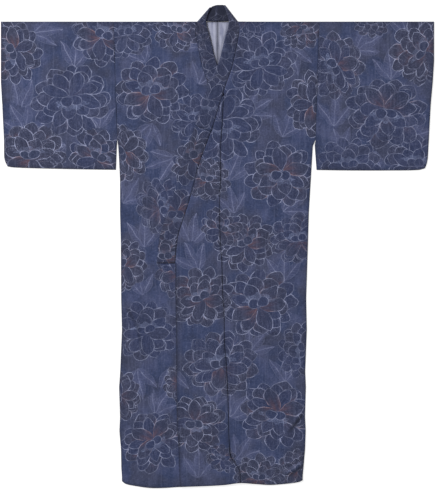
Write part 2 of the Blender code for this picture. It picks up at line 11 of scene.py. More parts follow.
import bmesh
import bpy
import numpy as np
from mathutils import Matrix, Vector, noise
from mathutils.bvhtree import BVHTree


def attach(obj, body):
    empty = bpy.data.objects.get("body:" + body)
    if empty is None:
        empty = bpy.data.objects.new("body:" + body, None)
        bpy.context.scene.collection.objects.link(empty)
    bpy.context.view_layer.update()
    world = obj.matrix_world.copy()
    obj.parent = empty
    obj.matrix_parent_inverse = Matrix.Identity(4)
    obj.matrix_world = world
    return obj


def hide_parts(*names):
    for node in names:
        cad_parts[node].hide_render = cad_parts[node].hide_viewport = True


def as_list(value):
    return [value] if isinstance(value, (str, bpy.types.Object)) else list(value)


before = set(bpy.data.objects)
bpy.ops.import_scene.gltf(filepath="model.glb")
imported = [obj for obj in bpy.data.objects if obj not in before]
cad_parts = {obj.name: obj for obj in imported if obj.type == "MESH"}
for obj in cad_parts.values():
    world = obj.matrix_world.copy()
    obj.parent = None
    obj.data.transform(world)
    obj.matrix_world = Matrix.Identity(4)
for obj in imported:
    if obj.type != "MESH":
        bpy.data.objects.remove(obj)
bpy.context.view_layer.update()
print("solids:", ", ".join(sorted(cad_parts)))

# %% [markdown]
# The cut. The side seams, the hem and the free edge of a laid robe are never quite straight, because
# the cloth eases and slips. They could be drawn as curve objects and edited by hand; tables of points
# are kept instead, because the same sizes then shape the grids, the print and the stitches alike.

# %% Measures of the robe
MM = 0.001
SHOULDER_Y = 708.3
SEAM_GAP = 0.3
NECK_CORNER_X = 59.6          # the front's corner, tucked under the turn of the collar
TUCK = 0.05                   # between the cloth and the collar that it is sewn into
SLEEVE_SEAM = 375.0
CUFF_OPENING = 262.0
OKUMI_TIP_DOWN = 228.0
OVER_COLLAR_END = 348.0
NOMINAL_HEM = 1460.0
SLEEVE_DROP = 468.0
SHELL = 0.7                   # thickness of the shells

# down, x of the right edge, x of the left edge
SIDE_EDGES = (
    (0, 321, -327.5),
    (375, 308.5, -315),
    (392, 300.5, -312.8),
    (440, 297.5, -309.8),
    (500, 294, -307),
    (600, 288, -307),
    (700, 285, -304.5),
    (875, 279.5, -303.5),
    (975, 281.5, -301),
    (1110, 276.5, -306.5),
    (1160, 278.5, -310),
    (1255, 276, -307),
    (1300, 278, -309),
    (1360, 276, -304),
    (1420, 271, -303),
    (1445, 268.5, -301),
)
# x, down
HEM_LINE = (
    (-302, 1446),
    (-290, 1455.5),
    (-258, 1462.5),
    (-212, 1468.5),
    (-165, 1468.5),
    (-118, 1465.5),
    (-24, 1462),
    (24, 1459),
    (71, 1453),
    (118, 1456),
    (165, 1459),
    (212, 1456),
    (256, 1450),
    (269, 1444),
)
# x of the sewn edge, down of it, x of the folded edge, down of it
COLLAR_ARM = (
    (69.3, 16.5, 29.9, -24.5),
    (68, 38.5, 35.9, 4),
    (59.9, 83.5, 22, 57.5),
    (48.2, 137.5, 6.3, 120.5),
    (36.2, 174, -9.5, 158),
    (25.2, 204, -25.2, 186.5),
    (4.7, 270, -44.1, 243.5),
    (-12.6, 326.5, -63, 303),
    (-33, 382, -85, 366),
    (-53.5, 437, -108.7, 426),
    (-70.9, 500, -126, 489),
    (-88.2, 563, -144, 560),
    (-108.7, 627.5, -165.4, 621.5),
    (-124.4, 681, -182.7, 675),
    (-132.9, 760.5, -192.2, 760.5),
)
# side of the neck: x of the sewn end, down of it, x of the folded end, down of it
COLLAR_TURNS = {
    1: (58.5, -1.5, 20.6, -50.4),
    -1: (-57.3, -1.5, -20.8, -43.5),
}
BACK_TOP_DOWN = -52.5
TURN_BULGE = 2.4              # the turned fold stands this much above the back of the collar
# down, x on the left front, x on the hidden right front
OKUMI_SEAM = (
    (204, 25.2, 25.2),
    (242, 18.9, 18.9),
    (326, 14, 14),
    (392, 9.5, 9.5),
    (500, 9.5, 9.5),
    (550, 6.8, 6.8),
    (612, 6.6, 6.6),
    (690, 8.9, 8.9),
    (763, 13.8, 13.8),
    (876, 17.2, 17.2),
    (914, 20.5, 20.5),
    (1020, 22.4, 22.4),
    (1066, 26.8, 26.8),
    (1142, 31, 31),
    (1217, 33.8, 33.8),
    (1330, 36.8, 36.8),
    (1371, 41, 38.5),
    (1395, 55, 40),
    (1416, 68, 41.5),
    (1440, 72, 43),
    (1470, 73.5, 45),
)
# down, x
OKUMI_FREE_EDGE = (
    (760.5, -132.9),
    (1005, -130),
    (1273, -127.5),
    (1320, -123),
    (1470, -118),
)
# down, x of the cuff edge on the viewer's right, on the viewer's left
CUFF_EDGES = (
    (0, 682, -682),
    (125, 682, -682),
    (190, 678, -682),
    (250, 672.5, -678.5),
    (310, 669, -675.7),
    (370, 666, -672.5),
    (435, 662.5, -672),
    (452, 659.5, -668.5),
    (470, 653, -660),
)
# down, x of the inner edge on the viewer's right, on the viewer's left: sewn to the body down to 375
SLEEVE_INNER_EDGES = (
    (0, 321, -327.5),
    (375, 308.5, -315),
    (390, 306, -316.6),
    (470, 312, -319.7),
)
# share of the sleeve's width from the body, down on the viewer's right, on the left
SLEEVE_BOTTOM = (
    (0, 467.5, 467),
    (0.3, 469, 465.5),
    (0.7, 469, 462.5),
    (0.94, 467.5, 459.5),
    (1, 462, 456.5),
)

# %% [markdown]
# Reading the tables. A seam between two measured points should bend softly, as cloth does. Straight
# lines between the points would leave small corners, and a spline object would need sampling, so one
# short function blends the points with slopes taken from their neighbours.

# %% Reading the tables
def table_curve(rows, column, at):
    """Smooth reading of one column of a table whose first column is the position."""
    keys = [row[0] for row in rows]
    values = [row[column] for row in rows]
    slopes = []
    for index in range(len(keys)):
        before = max(index - 1, 0)
        after = min(index + 1, len(keys) - 1)
        slopes.append((values[after] - values[before]) / (keys[after] - keys[before]))
    at = min(max(at, keys[0]), keys[-1])
    place = 0
    while place < len(keys) - 2 and at > keys[place + 1]:
        place += 1
    span = keys[place + 1] - keys[place]
    share = (at - keys[place]) / span
    rest = 1.0 - share
    return (
        values[place] * (1.0 + 2.0 * share) * rest * rest
        + slopes[place] * span * share * rest * rest
        + values[place + 1] * (3.0 - 2.0 * share) * share * share
        - slopes[place + 1] * span * rest * share * share
    )


def table_line(rows, column, at):
    """Straight reading of one column of a table."""
    return float(np.interp(at, [row[0] for row in rows], [row[column] for row in rows]))

# %% [markdown]
# The line of the collar. The collar of a yukata is one long band that leaves the neck and runs down
# each front. It is thought of as rulings: short lines across the band, each from the sewn edge to the
# folded edge. Even rulings make faces of even size, which bend and shade evenly.

# %% The line of the collar
ARM_STEP = 7.0


def arm_rulings():
    """The collar arm's rulings at even steps, each (sewn x, sewn down, fold x, fold down)."""
    rows = np.array(COLLAR_ARM)
    middle = (rows[:, :2] + rows[:, 2:]) / 2.0
    run = np.concatenate([[0.0], np.cumsum(np.hypot(*np.diff(middle, axis=0).T))])
    keyed = [(along, *row) for along, row in zip(run, rows)]
    count = int(round(run[-1] / ARM_STEP))
    result = []
    for index in range(count + 1):
        at = run[-1] * index / count
        result.append(tuple(table_curve(keyed, column, at) for column in range(1, 5)))
    return result


ARM = arm_rulings()
COLLAR_END_DOWN = ARM[-1][1]
ARM_DOWNS = [0.0] + [ruling[1] for ruling in ARM]
ARM_XS = [NECK_CORNER_X] + [ruling[0] for ruling in ARM]
print("collar rulings:", len(ARM), "and the collar ends", round(COLLAR_END_DOWN), "mm down")


def collar_seam_x(down):
    return float(np.interp(down, ARM_DOWNS, ARM_XS))

# %% [markdown]
# Grid steps. A sheet needs small faces where something happens. At the edges the cloth turns down sharply,
# so the steps are close there, and wider between. A Subdivision modifier would add the same number of faces
# everywhere, which is why the steps are given here.

# %% Grid steps
def hem_down(x):
    return table_curve(HEM_LINE, 1, x)


def even_steps(length, step, edges):
    """Positions from 0 to length, close together at both ends, about step apart between."""
    margin = edges[-1]
    count = max(1, int(round((length - 2.0 * margin) / step)))
    middle = [margin + (length - 2.0 * margin) * index / count for index in range(1, count)]
    return list(edges) + middle + [length - edge for edge in reversed(edges)]


EDGE_STEPS = (0.0, 1.4, 3.6, 7.5, 12.5)
GRID_STEP = 6.0
print("grid step:", GRID_STEP, "mm, edge steps:", EDGE_STEPS)

# %% [markdown]
# Creases. Cotton that was folded away and laid out again keeps soft ridges, and a few sharp folds near the
# hem. They could come from a displacement texture, but then they would be even all over. Each main crease is
# listed here, with its own length, height and width, over a faint uneven swell.

# %% Heights and creases
# x and down of one end, of the other end, height, half width: ridges above 0, troughs below
CREASES = (
    (-303, 870, -257, 955, 4.8, 6),
    (-257, 955, -231, 1082, 4, 6.5),
    (-290, 900, -240, 990, 2.4, 7),
    (266, 1234, 216, 1290, 5.8, 5.6),
    (262, 1262, 204, 1322, 3.4, 7),
    (268, 1390, 216, 1428, 5.4, 5.8),
    (262, 1366, 178, 1414, 3.2, 7),
    (276, 1330, 236, 1352, 3.2, 6.5),
    (134, 1000, 176, 978, 2.8, 7),
    (30, 1362, 62, 1416, 3.2, 7),
    (58, 1350, 92, 1398, 2.4, 8),
    (-175, 1380, -196, 1464, 2.6, 10),
    (-52, 1290, -70, 1455, 2.2, 10),
    (225, 560, 262, 690, 2.2, 11),
    (-255, 500, -218, 640, 2, 11),
    (110, 120, 180, 300, 1.8, 13),
    (-140, 90, -205, 260, 1.8, 13),
    (400, 70, 540, 190, 1.8, 13),
    (450, 392, 590, 338, 1.7, 12),
    (-410, 100, -560, 205, 1.8, 13),
    (-455, 400, -585, 356, 1.7, 12),
    (330, 250, 410, 330, 1.8, 10),
    (-335, 240, -415, 320, 1.8, 10),
    (290, 60, 312, 190, 1.6, 9),
    (150, 620, 95, 850, 1.7, 14),
    (-60, 800, -95, 1060, 1.6, 13),
    (-230, 1120, -275, 1290, 2, 12),
    (60, 1010, 130, 1250, 1.7, 14),
)
# x and down of one end, of the other end, darkness and half width of a pressed fold's shaded side
DARK_FOLDS = (
    (272, 1236, 220, 1296, 0.66, 7.5),
    (272, 1394, 222, 1432, 0.56, 6),
    (-300, 876, -256, 958, 0.42, 5.5),
    (-254, 958, -230, 1080, 0.34, 5),
    (30, 1366, 60, 1414, 0.30, 5),
    (140, 1002, 178, 982, 0.26, 5),
    (262, 1330, 232, 1346, 0.26, 5.5),
)


SWELL, SWELL_ACROSS, SWELL_DOWN = 1.5, 58.0, 74.0
CRINKLE, CRINKLE_ACROSS, CRINKLE_DOWN = 0.24, 11.0, 15.0
PAST_ENDS = 30.0              # a crease fades out within this past its ends
WANDER = 3.0                  # and strays this far to each side


def crease(x, down):
    """How far the hand-placed creases and the slight crinkle of the cotton lift a point."""
    total = SWELL * noise.fractal(Vector((x / SWELL_ACROSS, down / SWELL_DOWN, 1.7)), 0.8, 2.1, 3)
    total += CRINKLE * noise.noise(Vector((x / CRINKLE_ACROSS, down / CRINKLE_DOWN, 6.2)))
    for start_x, start_down, end_x, end_down, height, half_width in CREASES:
        run_x = end_x - start_x
        run_down = end_down - start_down
        length = math.hypot(run_x, run_down)
        along = ((x - start_x) * run_x + (down - start_down) * run_down) / length
        if along < -PAST_ENDS or along > length + PAST_ENDS:
            continue
        aside = ((x - start_x) * run_down - (down - start_down) * run_x) / length
        aside += WANDER * math.sin(along / 23.0 + start_x)
        past = max(-along, along - length, 0.0)
        distance = math.hypot(aside, past * 0.6) / half_width
        if distance < 2.4:
            swell = 0.75 + 0.25 * math.sin(along / 31.0 + end_x)
            total += height * swell * math.exp(-distance * distance * 1.3)
    return total

# %% [markdown]
# Pressed folds. One side of a sharp fold turns away from the light and reads as a dark line. The folds
# are only millimetres high, so the mesh gives most of the shading, and a soft darkening beside the
# sharpest ones stands for the tight crease that a 6 mm grid can't hold.

# %% Pressed folds
def fold_shades(places):
    """How dark the pressed folds make each point of a grid."""
    shades = np.zeros(places.shape[:2])
    xs, downs = places[..., 0], SHOULDER_Y - places[..., 1]
    for start_x, start_down, end_x, end_down, dark, half_width in DARK_FOLDS:
        run_x, run_down = end_x - start_x, end_down - start_down
        length = math.hypot(run_x, run_down)
        share = ((xs - start_x) * run_x + (downs - start_down) * run_down) / length ** 2
        aside = ((xs - start_x) * run_down - (downs - start_down) * run_x) / length
        ends = np.clip(4.0 * share, 0.0, 1.0) * np.clip(4.0 * (1.0 - share), 0.0, 1.0)
        shades = np.maximum(shades, dark * ends * np.exp(-((aside / half_width) ** 2)))
    return shades

# %% [markdown]
# Heights from the solids. The cloth lies where the solid's top is, so a ray is sent down to it at each
# point. A Shrinkwrap modifier would do the same, but here the heights are wanted as numbers, to smooth
# the solid's flat facets away and to add the creases afterwards.

# %% Heights from the solids
def node_tree(name):
    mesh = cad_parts[name].data
    points = [vertex.co.copy() for vertex in mesh.vertices]
    return BVHTree.FromPolygons(points, [tuple(face.vertices) for face in mesh.polygons])


def top_height(tree, x, y):
    """Height of a node's top in millimetres, or of its nearest point just past its edge."""
    start = Vector((x * MM, y * MM, 0.1))
    place, normal, index, distance = tree.ray_cast(start, Vector((0.0, 0.0, -1.0)))
    if place is None:
        place, normal, index, distance = tree.find_nearest(Vector((x * MM, y * MM, 0.012)))
    return place.z / MM


def smooth_heights(heights, passes):
    for number in range(passes):
        wide = np.pad(heights, 1, mode="edge")
        around = wide[:-2, 1:-1] + wide[2:, 1:-1] + wide[1:-1, :-2] + wide[1:-1, 2:]
        heights = (around + 4.0 * heights) / 8.0
    return heights

# %% [markdown]
# Seams and edges. A seam presses the cloth flat and holds dirt, and the cloth at seams and edges sinks into
# shade, so each shows as a thin dark line of painted shade and dirt, less so where the collar's edge covers
# it. The distance of each point from the four edges of its grid is enough to place these lines, with no
# painting by hand.

# %% Seams and edges
SHADE_AND_DIRT_REACH = 3.0              # how far the dark line of a seam or fold spreads
SOFT_REACH = 8.0              # and the fainter painted shade and dirt beside it
LINE_SHARE = 0.58             # of the darkness is in the line, and the rest beside it
OUTER_X = 250.0               # near edges past this x are side seams, with the armhole above
COLLAR_SEAM_DARK = 0.06
ARMHOLE_DARK = 0.30


def side_distances(places):
    """Distances in the plane from each point of a grid to its first, last, near and far edges."""
    first = np.hypot(*(places - places[:1]).transpose(2, 0, 1))
    last = np.hypot(*(places - places[-1:]).transpose(2, 0, 1))
    near = np.hypot(*(places - places[:, :1]).transpose(2, 0, 1))
    far = np.hypot(*(places - places[:, -1:]).transpose(2, 0, 1))
    return first, last, near, far


def shade_and_dirt_of(places, darkness, beside_collar):
    """Painted shade and dirt of each point from the seams and folds at the four edges; little beside the
    collar.
    """
    first, last, near, far = darkness
    far = np.where(SHOULDER_Y - places[:, -1:, 1] < beside_collar, COLLAR_SEAM_DARK, far)
    armhole = np.where(SHOULDER_Y - places[:, :1, 1] < SLEEVE_SEAM, ARMHOLE_DARK, near)
    near = np.where(np.abs(places[:, :1, 0]) > OUTER_X, armhole, near)
    lines = []
    for away, dark in zip(side_distances(places), (first, last, near, far)):
        soft = (1.0 - LINE_SHARE) * np.exp(-away / SOFT_REACH)
        lines.append(dark * (LINE_SHARE * np.exp(-away / SHADE_AND_DIRT_REACH) + soft))
    return np.max(lines, axis=0)

# %% [markdown]
# Cloth rising to the collar. The front is sewn into the collar band, so it climbs to the band's height
# beside it. Without this the band would stand as a step with a hard shadow. The rise is measured on
# the solids along the seam, smoothed, and faded out over a few centimetres.

# %% Cloth rising to the collar
COLLAR_STANDS = -0.15         # the collar lies this much lower than the cloth sewn into it
COLLAR_RISE = 24.0            # how far from the collar the cloth starts to rise
SEAM_RISE = 9.0               # and how close to it the last of the step is made up
BEYOND = 12.0                 # the bare collar counts from this far above the over-collar's end
LIFT_STEP = 8.0
LIFT_WINDOW = 7               # steps that each lift is averaged over


def collar_lifts():
    """How far the left front must rise at the collar's seam, at steps down the arm."""
    trees = {name: node_tree(name) for name in ("body_left", "okumi_left", "over_collar", "collar")}
    downs = np.arange(LIFT_STEP / 2.0, COLLAR_END_DOWN, LIFT_STEP)
    lifts, tops = [], []
    for down in downs:
        x, y = collar_seam_x(down), SHOULDER_Y - down
        cloth = trees["body_left" if down < OKUMI_TIP_DOWN + 10.0 else "okumi_left"]
        band = trees["over_collar" if down < OVER_COLLAR_END - BEYOND else "collar"]
        tops.append(top_height(band, x - 6.0, y))
        lifts.append(max(tops[-1] - top_height(cloth, x + 4.0, y) - COLLAR_STANDS, 0.0))
    wide = np.pad([lifts, tops], ((0, 0), (LIFT_WINDOW // 2, LIFT_WINDOW // 2)), mode="edge")
    window = np.ones(LIFT_WINDOW) / LIFT_WINDOW
    return downs, *(np.convolve(line, window, mode="valid") for line in wide)


LIFT_DOWNS, LIFTS, BAND_TOPS = collar_lifts()
print(f"the left front rises {LIFTS.min():.1f} to {LIFTS.max():.1f} mm to the collar")


def rise_to_collar(places, heights):
    """Lift the cloth of the left front towards the collar that it is sewn into."""
    downs = SHOULDER_Y - places[..., 1]
    seams = np.vectorize(collar_seam_x)(downs)
    past = np.clip(downs - COLLAR_END_DOWN, 0.0, None)
    away = np.hypot(0.95 * np.clip(places[..., 0] - seams, 0.0, None), past)
    heights = heights + np.interp(downs, LIFT_DOWNS, LIFTS) * np.exp(-((away / COLLAR_RISE) ** 2))
    sewn = away[:, -1] < 0.2
    short = np.interp(downs[sewn, -1], LIFT_DOWNS, BAND_TOPS) - COLLAR_STANDS - heights[sewn, -1]
    return heights + np.interp(downs, downs[sewn, -1], short) * np.exp(-away / SEAM_RISE)

# %% [markdown]
# The laid sheet. Here the heights come together: the solid's top, the creases, a slight pucker along
# the seams, the thicker turned hem and the edges that sink to the cloth below. Troughs are limited,
# because a deep one would push the sheet through the layer that lies under it.

# %% The laid sheet
EDGE_DROP = 0.34              # how far the cloth sinks at its edges
EDGE_REACH = 2.2
EDGE_FREE = 16.0              # the creases fade out this near to an edge
PUCKER = 0.14
PUCKER_LENGTH = 3.9           # of the waves along a seam
PUCKER_REACH = 9.0
DEEPEST = -0.60               # a trough may not sink the cloth into what lies below it
HEM_WIDTH = 11.0
HEM_STEP = 0.45               # the turned hem lies this much proud of the cloth


def laid_heights(name, places, relief, hems, passes=12):
    """Heights of the upper side of a cloth over its node, with creases, hems and sunken edges."""
    tree = node_tree(name)
    rows, columns = places.shape[:2]
    heights = np.array([[top_height(tree, *places[j, i]) for i in range(columns)] for j in range(rows)])
    heights = smooth_heights(heights, passes)
    sides = side_distances(places)
    edges = np.min(sides, axis=0)
    for j in range(rows):
        for i in range(columns):
            x, y = places[j, i]
            down = SHOULDER_Y - y
            inside = min(edges[j, i] / EDGE_FREE, 1.0)
            heights[j, i] += max(relief * inside * crease(x, down), DEEPEST)
            wave = math.sin(down / PUCKER_LENGTH + 1.3 * math.sin(down / 31.0))
            wave *= math.exp(-edges[j, i] / PUCKER_REACH) * min(edges[j, i] / 3.0, 1.0)
            heights[j, i] += relief * PUCKER * wave
    for hemmed, away in zip(hems, sides):
        if hemmed:
            heights += relief * HEM_STEP * np.clip((HEM_WIDTH - away) / 3.0, 0.0, 1.0)
    return heights - EDGE_DROP * np.exp(-edges / EDGE_REACH)


print("creases:", len(CREASES))

# %% [markdown]
# A shell. Cloth has two sides and a thickness, and the inside of this robe is paler than the outside.
# A Solidify modifier gives thickness, but not a fold that is closed on one edge and open on another.
# So the faces are listed one by one, each with the side of the cloth that it shows.

# %% Shell builder
FRONT, BACK, INSIDE, RIM = 0, 1, 2, 3


class Shell:
    def __init__(self, name):
        self.name = name
        self.points = []
        self.worn = []
        self.shades = []
        self.faces = []
        self.sides = []

    # Each point carries the painted shade and dirt of seams and edges, at half strength unless given, and
    # the painted shade of folds and the collar.
    def point(self, x, y, z, worn=0.5, shade=0.0):
        self.points.append((x * MM, y * MM, max(z, 0.0) * MM))
        self.worn.append(worn)
        self.shades.append(shade)
        return len(self.points) - 1

    def face(self, side, *corners):
        kept = []
        for corner in corners:
            if corner not in kept:
                kept.append(corner)
        if len(kept) > 2:
            self.faces.append(kept)
            self.sides.append(side)

    def strip(self, side, first, second):
        for index in range(len(first) - 1):
            self.face(side, first[index], first[index + 1], second[index + 1], second[index])

    def sheet(self, side, grid):
        for near, far in zip(grid[:-1], grid[1:]):
            self.strip(side, near, far)

    def layer(self, places, heights, worn, shades=None):
        rows, columns = heights.shape
        if shades is None:
            shades = np.zeros((rows, columns))
        return [
            [self.point(*places[j, i], heights[j, i], worn[j, i], shades[j, i]) for i in range(columns)]
            for j in range(rows)
        ]

# %% [markdown]
# Finishing a mesh. All faces should look outwards, or the shading and the export go wrong, and a sound
# shell has no open edges. bmesh can turn the faces and count the edges in a few lines. Values that the
# materials need later are stored on the mesh as attributes.

# %% Finishing a mesh
def flip_if_inside_out(mesh):
    body = bmesh.new()
    body.from_mesh(mesh)
    bmesh.ops.recalc_face_normals(body, faces=body.faces)
    if body.calc_volume(signed=True) < 0.0:
        bmesh.ops.reverse_faces(body, faces=body.faces)
    open_edges = sum(1 for edge in body.edges if not edge.is_manifold)
    body.to_mesh(mesh)
    body.free()
    return open_edges


def float_layer(mesh, name, domain, values):
    kind = "FLOAT_VECTOR" if values.ndim == 2 else "FLOAT"
    layer = mesh.attributes.new(name, kind, domain)
    layer.data.foreach_set("vector" if values.ndim == 2 else "value", values.astype(np.float32).ravel())


def add_object(name, data):
    added = bpy.data.objects.new(name, data)
    bpy.context.scene.collection.objects.link(added)
    return added


print("sides of the cloth:", FRONT, BACK, INSIDE, RIM)

# %% [markdown]
# Places of the flowers. The print has large pale-lined flowers in loose rows, each turned its own way
# and cut off by the seams. They could be an image, but this robe uses no image at all: a table gives
# each flower's middle, size and direction, and the material draws its petals.

# %% Places of the flowers
# x, down, radius, direction of the stamens in degrees
LEFT_FRONT_FLOWERS = (
    (15, 315, 118, 270),
    (135, 140, 106, 95),
    (304, 260, 98, 0),
    (200, 475, 106, 260),
    (-35, 500, 70, 80),
    (12, 655, 66, 60),
    (88, 702, 90, 110),
    (258, 688, 84, 100),
    (-50, 875, 96, 110),
    (130, 895, 112, 95),
    (10, 1085, 106, 95),
    (272, 1035, 82, 180),
    (-72, 1260, 94, 265),
    (185, 1230, 108, 255),
    (130, 1440, 78, 80),
    (250, 1412, 62, 120),
    (10, 1378, 46, 60),
    (90, -8, 66, 60),
    (262, 20, 66, 300),
)
RIGHT_FRONT_FLOWERS = (
    (-290, 40, 84, 90),
    (-130, 30, 72, 70),
    (-210, 225, 108, 90),
    (-295, 412, 86, 200),
    (-70, 465, 78, 60),
    (-180, 588, 86, 20),
    (-295, 772, 80, 150),
    (-125, 795, 78, 30),
    (-225, 978, 98, 95),
    (-307, 1180, 76, 180),
    (-205, 1318, 96, 300),
    (-120, 1140, 58, 0),
    (-70, 310, 80, 80),
)
SLEEVE_FLOWERS = (
    (-460, 240, 116, 270),
    (-640, 92, 94, 200),
    (-362, 48, 98, 60),
    (-590, 428, 106, 90),
    (-378, 432, 92, 60),
    (530, 280, 116, 265),
    (652, 95, 102, 150),
    (375, 138, 96, 200),
    (415, 457, 92, 90),
    (622, 452, 92, 80),
    (488, -4, 54, 270),
)
COLLAR_FLOWERS = (
    (10, 110, 84, 60),
    (-28, 250, 88, 250),
    (-85, 430, 92, 100),
    (-130, 600, 88, 260),
    (-165, 745, 78, 90),
    (-70, 110, 84, 80),
    (-6, -70, 80, 90),
    (90, 20, 72, 160),
    (-95, 0, 70, 20),
)

# %% [markdown]
# Places of the leaves. Sprays of three leaves fill the ground between the flowers. They lie under the
# flowers, so they are only noted by the point where they meet, their length and their direction.

# %% Places of the leaves
# x and down of the point where the leaves meet, length, direction of the middle leaf
FRONT_LEAVES = (
    (-206, 320, 88, 255),
    (-58, 198, 84, 70),
    (206, 366, 96, 75),
    (92, 290, 96, 30),
    (34, 500, 104, 70),
    (52, 604, 86, 100),
    (-86, 700, 100, 80),
    (-58, 782, 100, 120),
    (208, 820, 104, 90),
    (-230, 712, 104, 90),
    (100, 1046, 96, 55),
    (214, 1134, 96, 90),
    (38, 1246, 100, 50),
    (-16, 1216, 88, 70),
    (-60, 1436, 92, 90),
    (-198, 1236, 92, 60),
    (-236, 860, 84, 100),
    (-252, 1092, 100, 280),
    (-150, 1092, 96, 280),
    (-296, 574, 96, 60),
    (-136, 430, 96, 200),
    (226, 80, 96, 290),
    (-46, 80, 92, 150),
    (-226, 130, 76, 120),
    (60, 1380, 92, 60),
    (206, 600, 92, 40),
    (-620, 278, 104, 70),
    (-606, 348, 100, 120),
    (-450, 142, 104, 85),
    (-372, 335, 92, 90),
    (-580, 36, 96, 10),
    (-480, 386, 88, 210),
    (368, 330, 100, 90),
    (386, 416, 92, 70),
    (546, 184, 100, 95),
    (436, 88, 96, 30),
    (610, 366, 92, 60),
    (500, 410, 88, 250),
    (590, 40, 90, 100),
)

# %% [markdown]
# The print on the back. The back can't be seen in the photo, but it is the same cloth, so the same
# flowers and leaves go on it. A loose grid with a fixed seed gives the same places at each run.

# %% The print on the back
JITTER = 0.16                 # of the spacing
ROW_SHARE = 0.92              # the rows are this much closer than the columns


def scattered(seed, width, length, spacing, size, spare):
    """A jittered grid of places over the back of the robe, in the same form as the tables."""
    choose = np.random.default_rng(seed)
    stray = JITTER * spacing
    rows = []
    across = int(width / spacing) + 1
    for row in range(int(length / spacing) + 1):
        for column in range(-across // 2, across // 2 + 1):
            x = (column + 0.5 * (row % 2)) * spacing + choose.uniform(-stray, stray)
            down = row * spacing * ROW_SHARE + choose.uniform(-stray, stray)
            rows.append((x, down, size * choose.uniform(1.0 - spare, 1.0 + spare), choose.uniform(0, 360)))
    return tuple(rows)


BACK_FLOWERS = scattered(11, 1364.0, 1460.0, 178.0, 92.0, 0.14)
BACK_LEAVES = scattered(12, 1364.0, 1460.0, 130.0, 96.0, 0.12)
NOWHERE = 9.0

# %% [markdown]
# From places to faces. A material can't read a table, but it can read numbers stored on the mesh. Each
# face corner gets its place inside the flower that covers it, in that flower's own radii. Flowers that
# overlap are split into two layers, so that one can be printed over the other.

# %% From places to faces
CROWDED = 0.96                # of their radii: nearer flowers go into different layers
FLOWER_REACH = 1.2            # in radii from the middle of a flower
LEAF_REACH = 0.74             # in lengths from the middle of a spray
LEAF_MIDDLE = 0.5             # which lies this far along it


def in_two_layers(table):
    """Split the flowers so that those of one layer keep clear of each other as far as possible."""
    upper, lower = [], []
    for flower in table:
        clash = any(
            math.hypot(flower[0] - other[0], flower[1] - other[1]) < (flower[2] + other[2]) * CROWDED
            for other in upper
        )
        (lower if clash else upper).append(flower)
    return upper, lower


def local_places(places, centres, table, reach, forward):
    """For each face corner its place inside the figure that covers the face, and a number for it."""
    count, corners = places.shape[:2]
    result = np.full((count, corners, 3), NOWHERE)
    closest = np.full(count, reach)
    for number, (x, down, size, direction) in enumerate(table):
        turn = math.radians(direction - 90.0)
        ahead = np.array((-math.sin(turn), math.cos(turn)))
        middle = np.array((x, SHOULDER_Y - down)) + ahead * forward * size
        distance = np.hypot(*(centres - middle).T) / size
        chosen = distance < closest
        if not chosen.any():
            continue
        closest[chosen] = distance[chosen]
        offset = (places[chosen] - np.array((x, SHOULDER_Y - down))) / size
        result[chosen, :, 0] = offset[..., 0] * math.cos(turn) + offset[..., 1] * math.sin(turn)
        result[chosen, :, 1] = -offset[..., 0] * math.sin(turn) + offset[..., 1] * math.cos(turn)
        result[chosen, :, 2] = (number * 0.618034 + 0.137) % 1.0
    return result


def print_on(mesh, sides, front_table):
    """Store the local places of the print for each face corner."""
    count = len(mesh.polygons)
    starts = np.zeros(count, np.int32)
    totals = np.zeros(count, np.int32)
    corner_points = np.zeros(len(mesh.loops), np.int32)
    coordinates = np.zeros(len(mesh.vertices) * 3)
    mesh.polygons.foreach_get("loop_start", starts)
    mesh.polygons.foreach_get("loop_total", totals)
    mesh.loops.foreach_get("vertex_index", corner_points)
    mesh.vertices.foreach_get("co", coordinates)
    plan = coordinates.reshape(-1, 3)[:, :2] / MM
    layers = {name: np.full((len(mesh.loops), 3), NOWHERE) for name in ("bloom_top", "bloom_low", "leaf")}
    for side, flowers, leaves in (
        (FRONT, front_table, FRONT_LEAVES),
        (BACK, BACK_FLOWERS, BACK_LEAVES),
    ):
        upper, lower = in_two_layers(flowers)
        for corners in (3, 4):
            chosen = np.nonzero((sides == side) & (totals == corners))[0]
            if not len(chosen):
                continue
            loops = starts[chosen][:, None] + np.arange(corners)[None, :]
            places = plan[corner_points[loops]]
            centres = places.mean(axis=1)
            for name, table, reach, forward in (
                ("bloom_top", upper, FLOWER_REACH, 0.0),
                ("bloom_low", lower, FLOWER_REACH, 0.0),
                ("leaf", leaves, LEAF_REACH, LEAF_MIDDLE),
            ):
                layers[name][loops] = local_places(places, centres, table, reach, forward)
    for name, values in layers.items():
        float_layer(mesh, name, "CORNER", values)


print("flowers on the front:", len(LEFT_FRONT_FLOWERS) + len(RIGHT_FRONT_FLOWERS) + len(SLEEVE_FLOWERS))

# %% [markdown]
# Node helpers. A petal is a formula, and a formula of fifty linked Math nodes is hard to read. One small
# class wraps a socket, so that plus, minus and times on it add the nodes, and one method makes every
# other node: first its settings, then its sockets.

# %% Node helpers
class Wire:
    """A socket that can be added, subtracted, multiplied and compared, as a number can."""

    def __init__(self, sketch, socket):
        self.sketch = sketch
        self.socket = socket


def wire_method(operation, swapped=False):
    """A method that adds a Math node, with the socket itself first, or last if swapped."""
    def method(self, *others):
        return self.sketch.math(operation, *((*others, self) if swapped else (self, *others)))
    return method


for name, operation in (
    ("__add__", "ADD"), ("__sub__", "SUBTRACT"), ("__mul__", "MULTIPLY"), ("__truediv__", "DIVIDE"),
    ("__lt__", "LESS_THAN"), ("__gt__", "GREATER_THAN"), ("__abs__", "ABSOLUTE"),
    ("most", "MAXIMUM"), ("power", "POWER"), ("sine", "SINE"), ("cosine", "COSINE"),
    ("rounded", "ROUND"), ("fraction", "FRACT"),
):
    setattr(Wire, name, wire_method(operation))
for name, operation in (("__radd__", "ADD"), ("__rsub__", "SUBTRACT"), ("__rmul__", "MULTIPLY")):
    setattr(Wire, name, wire_method(operation, swapped=True))


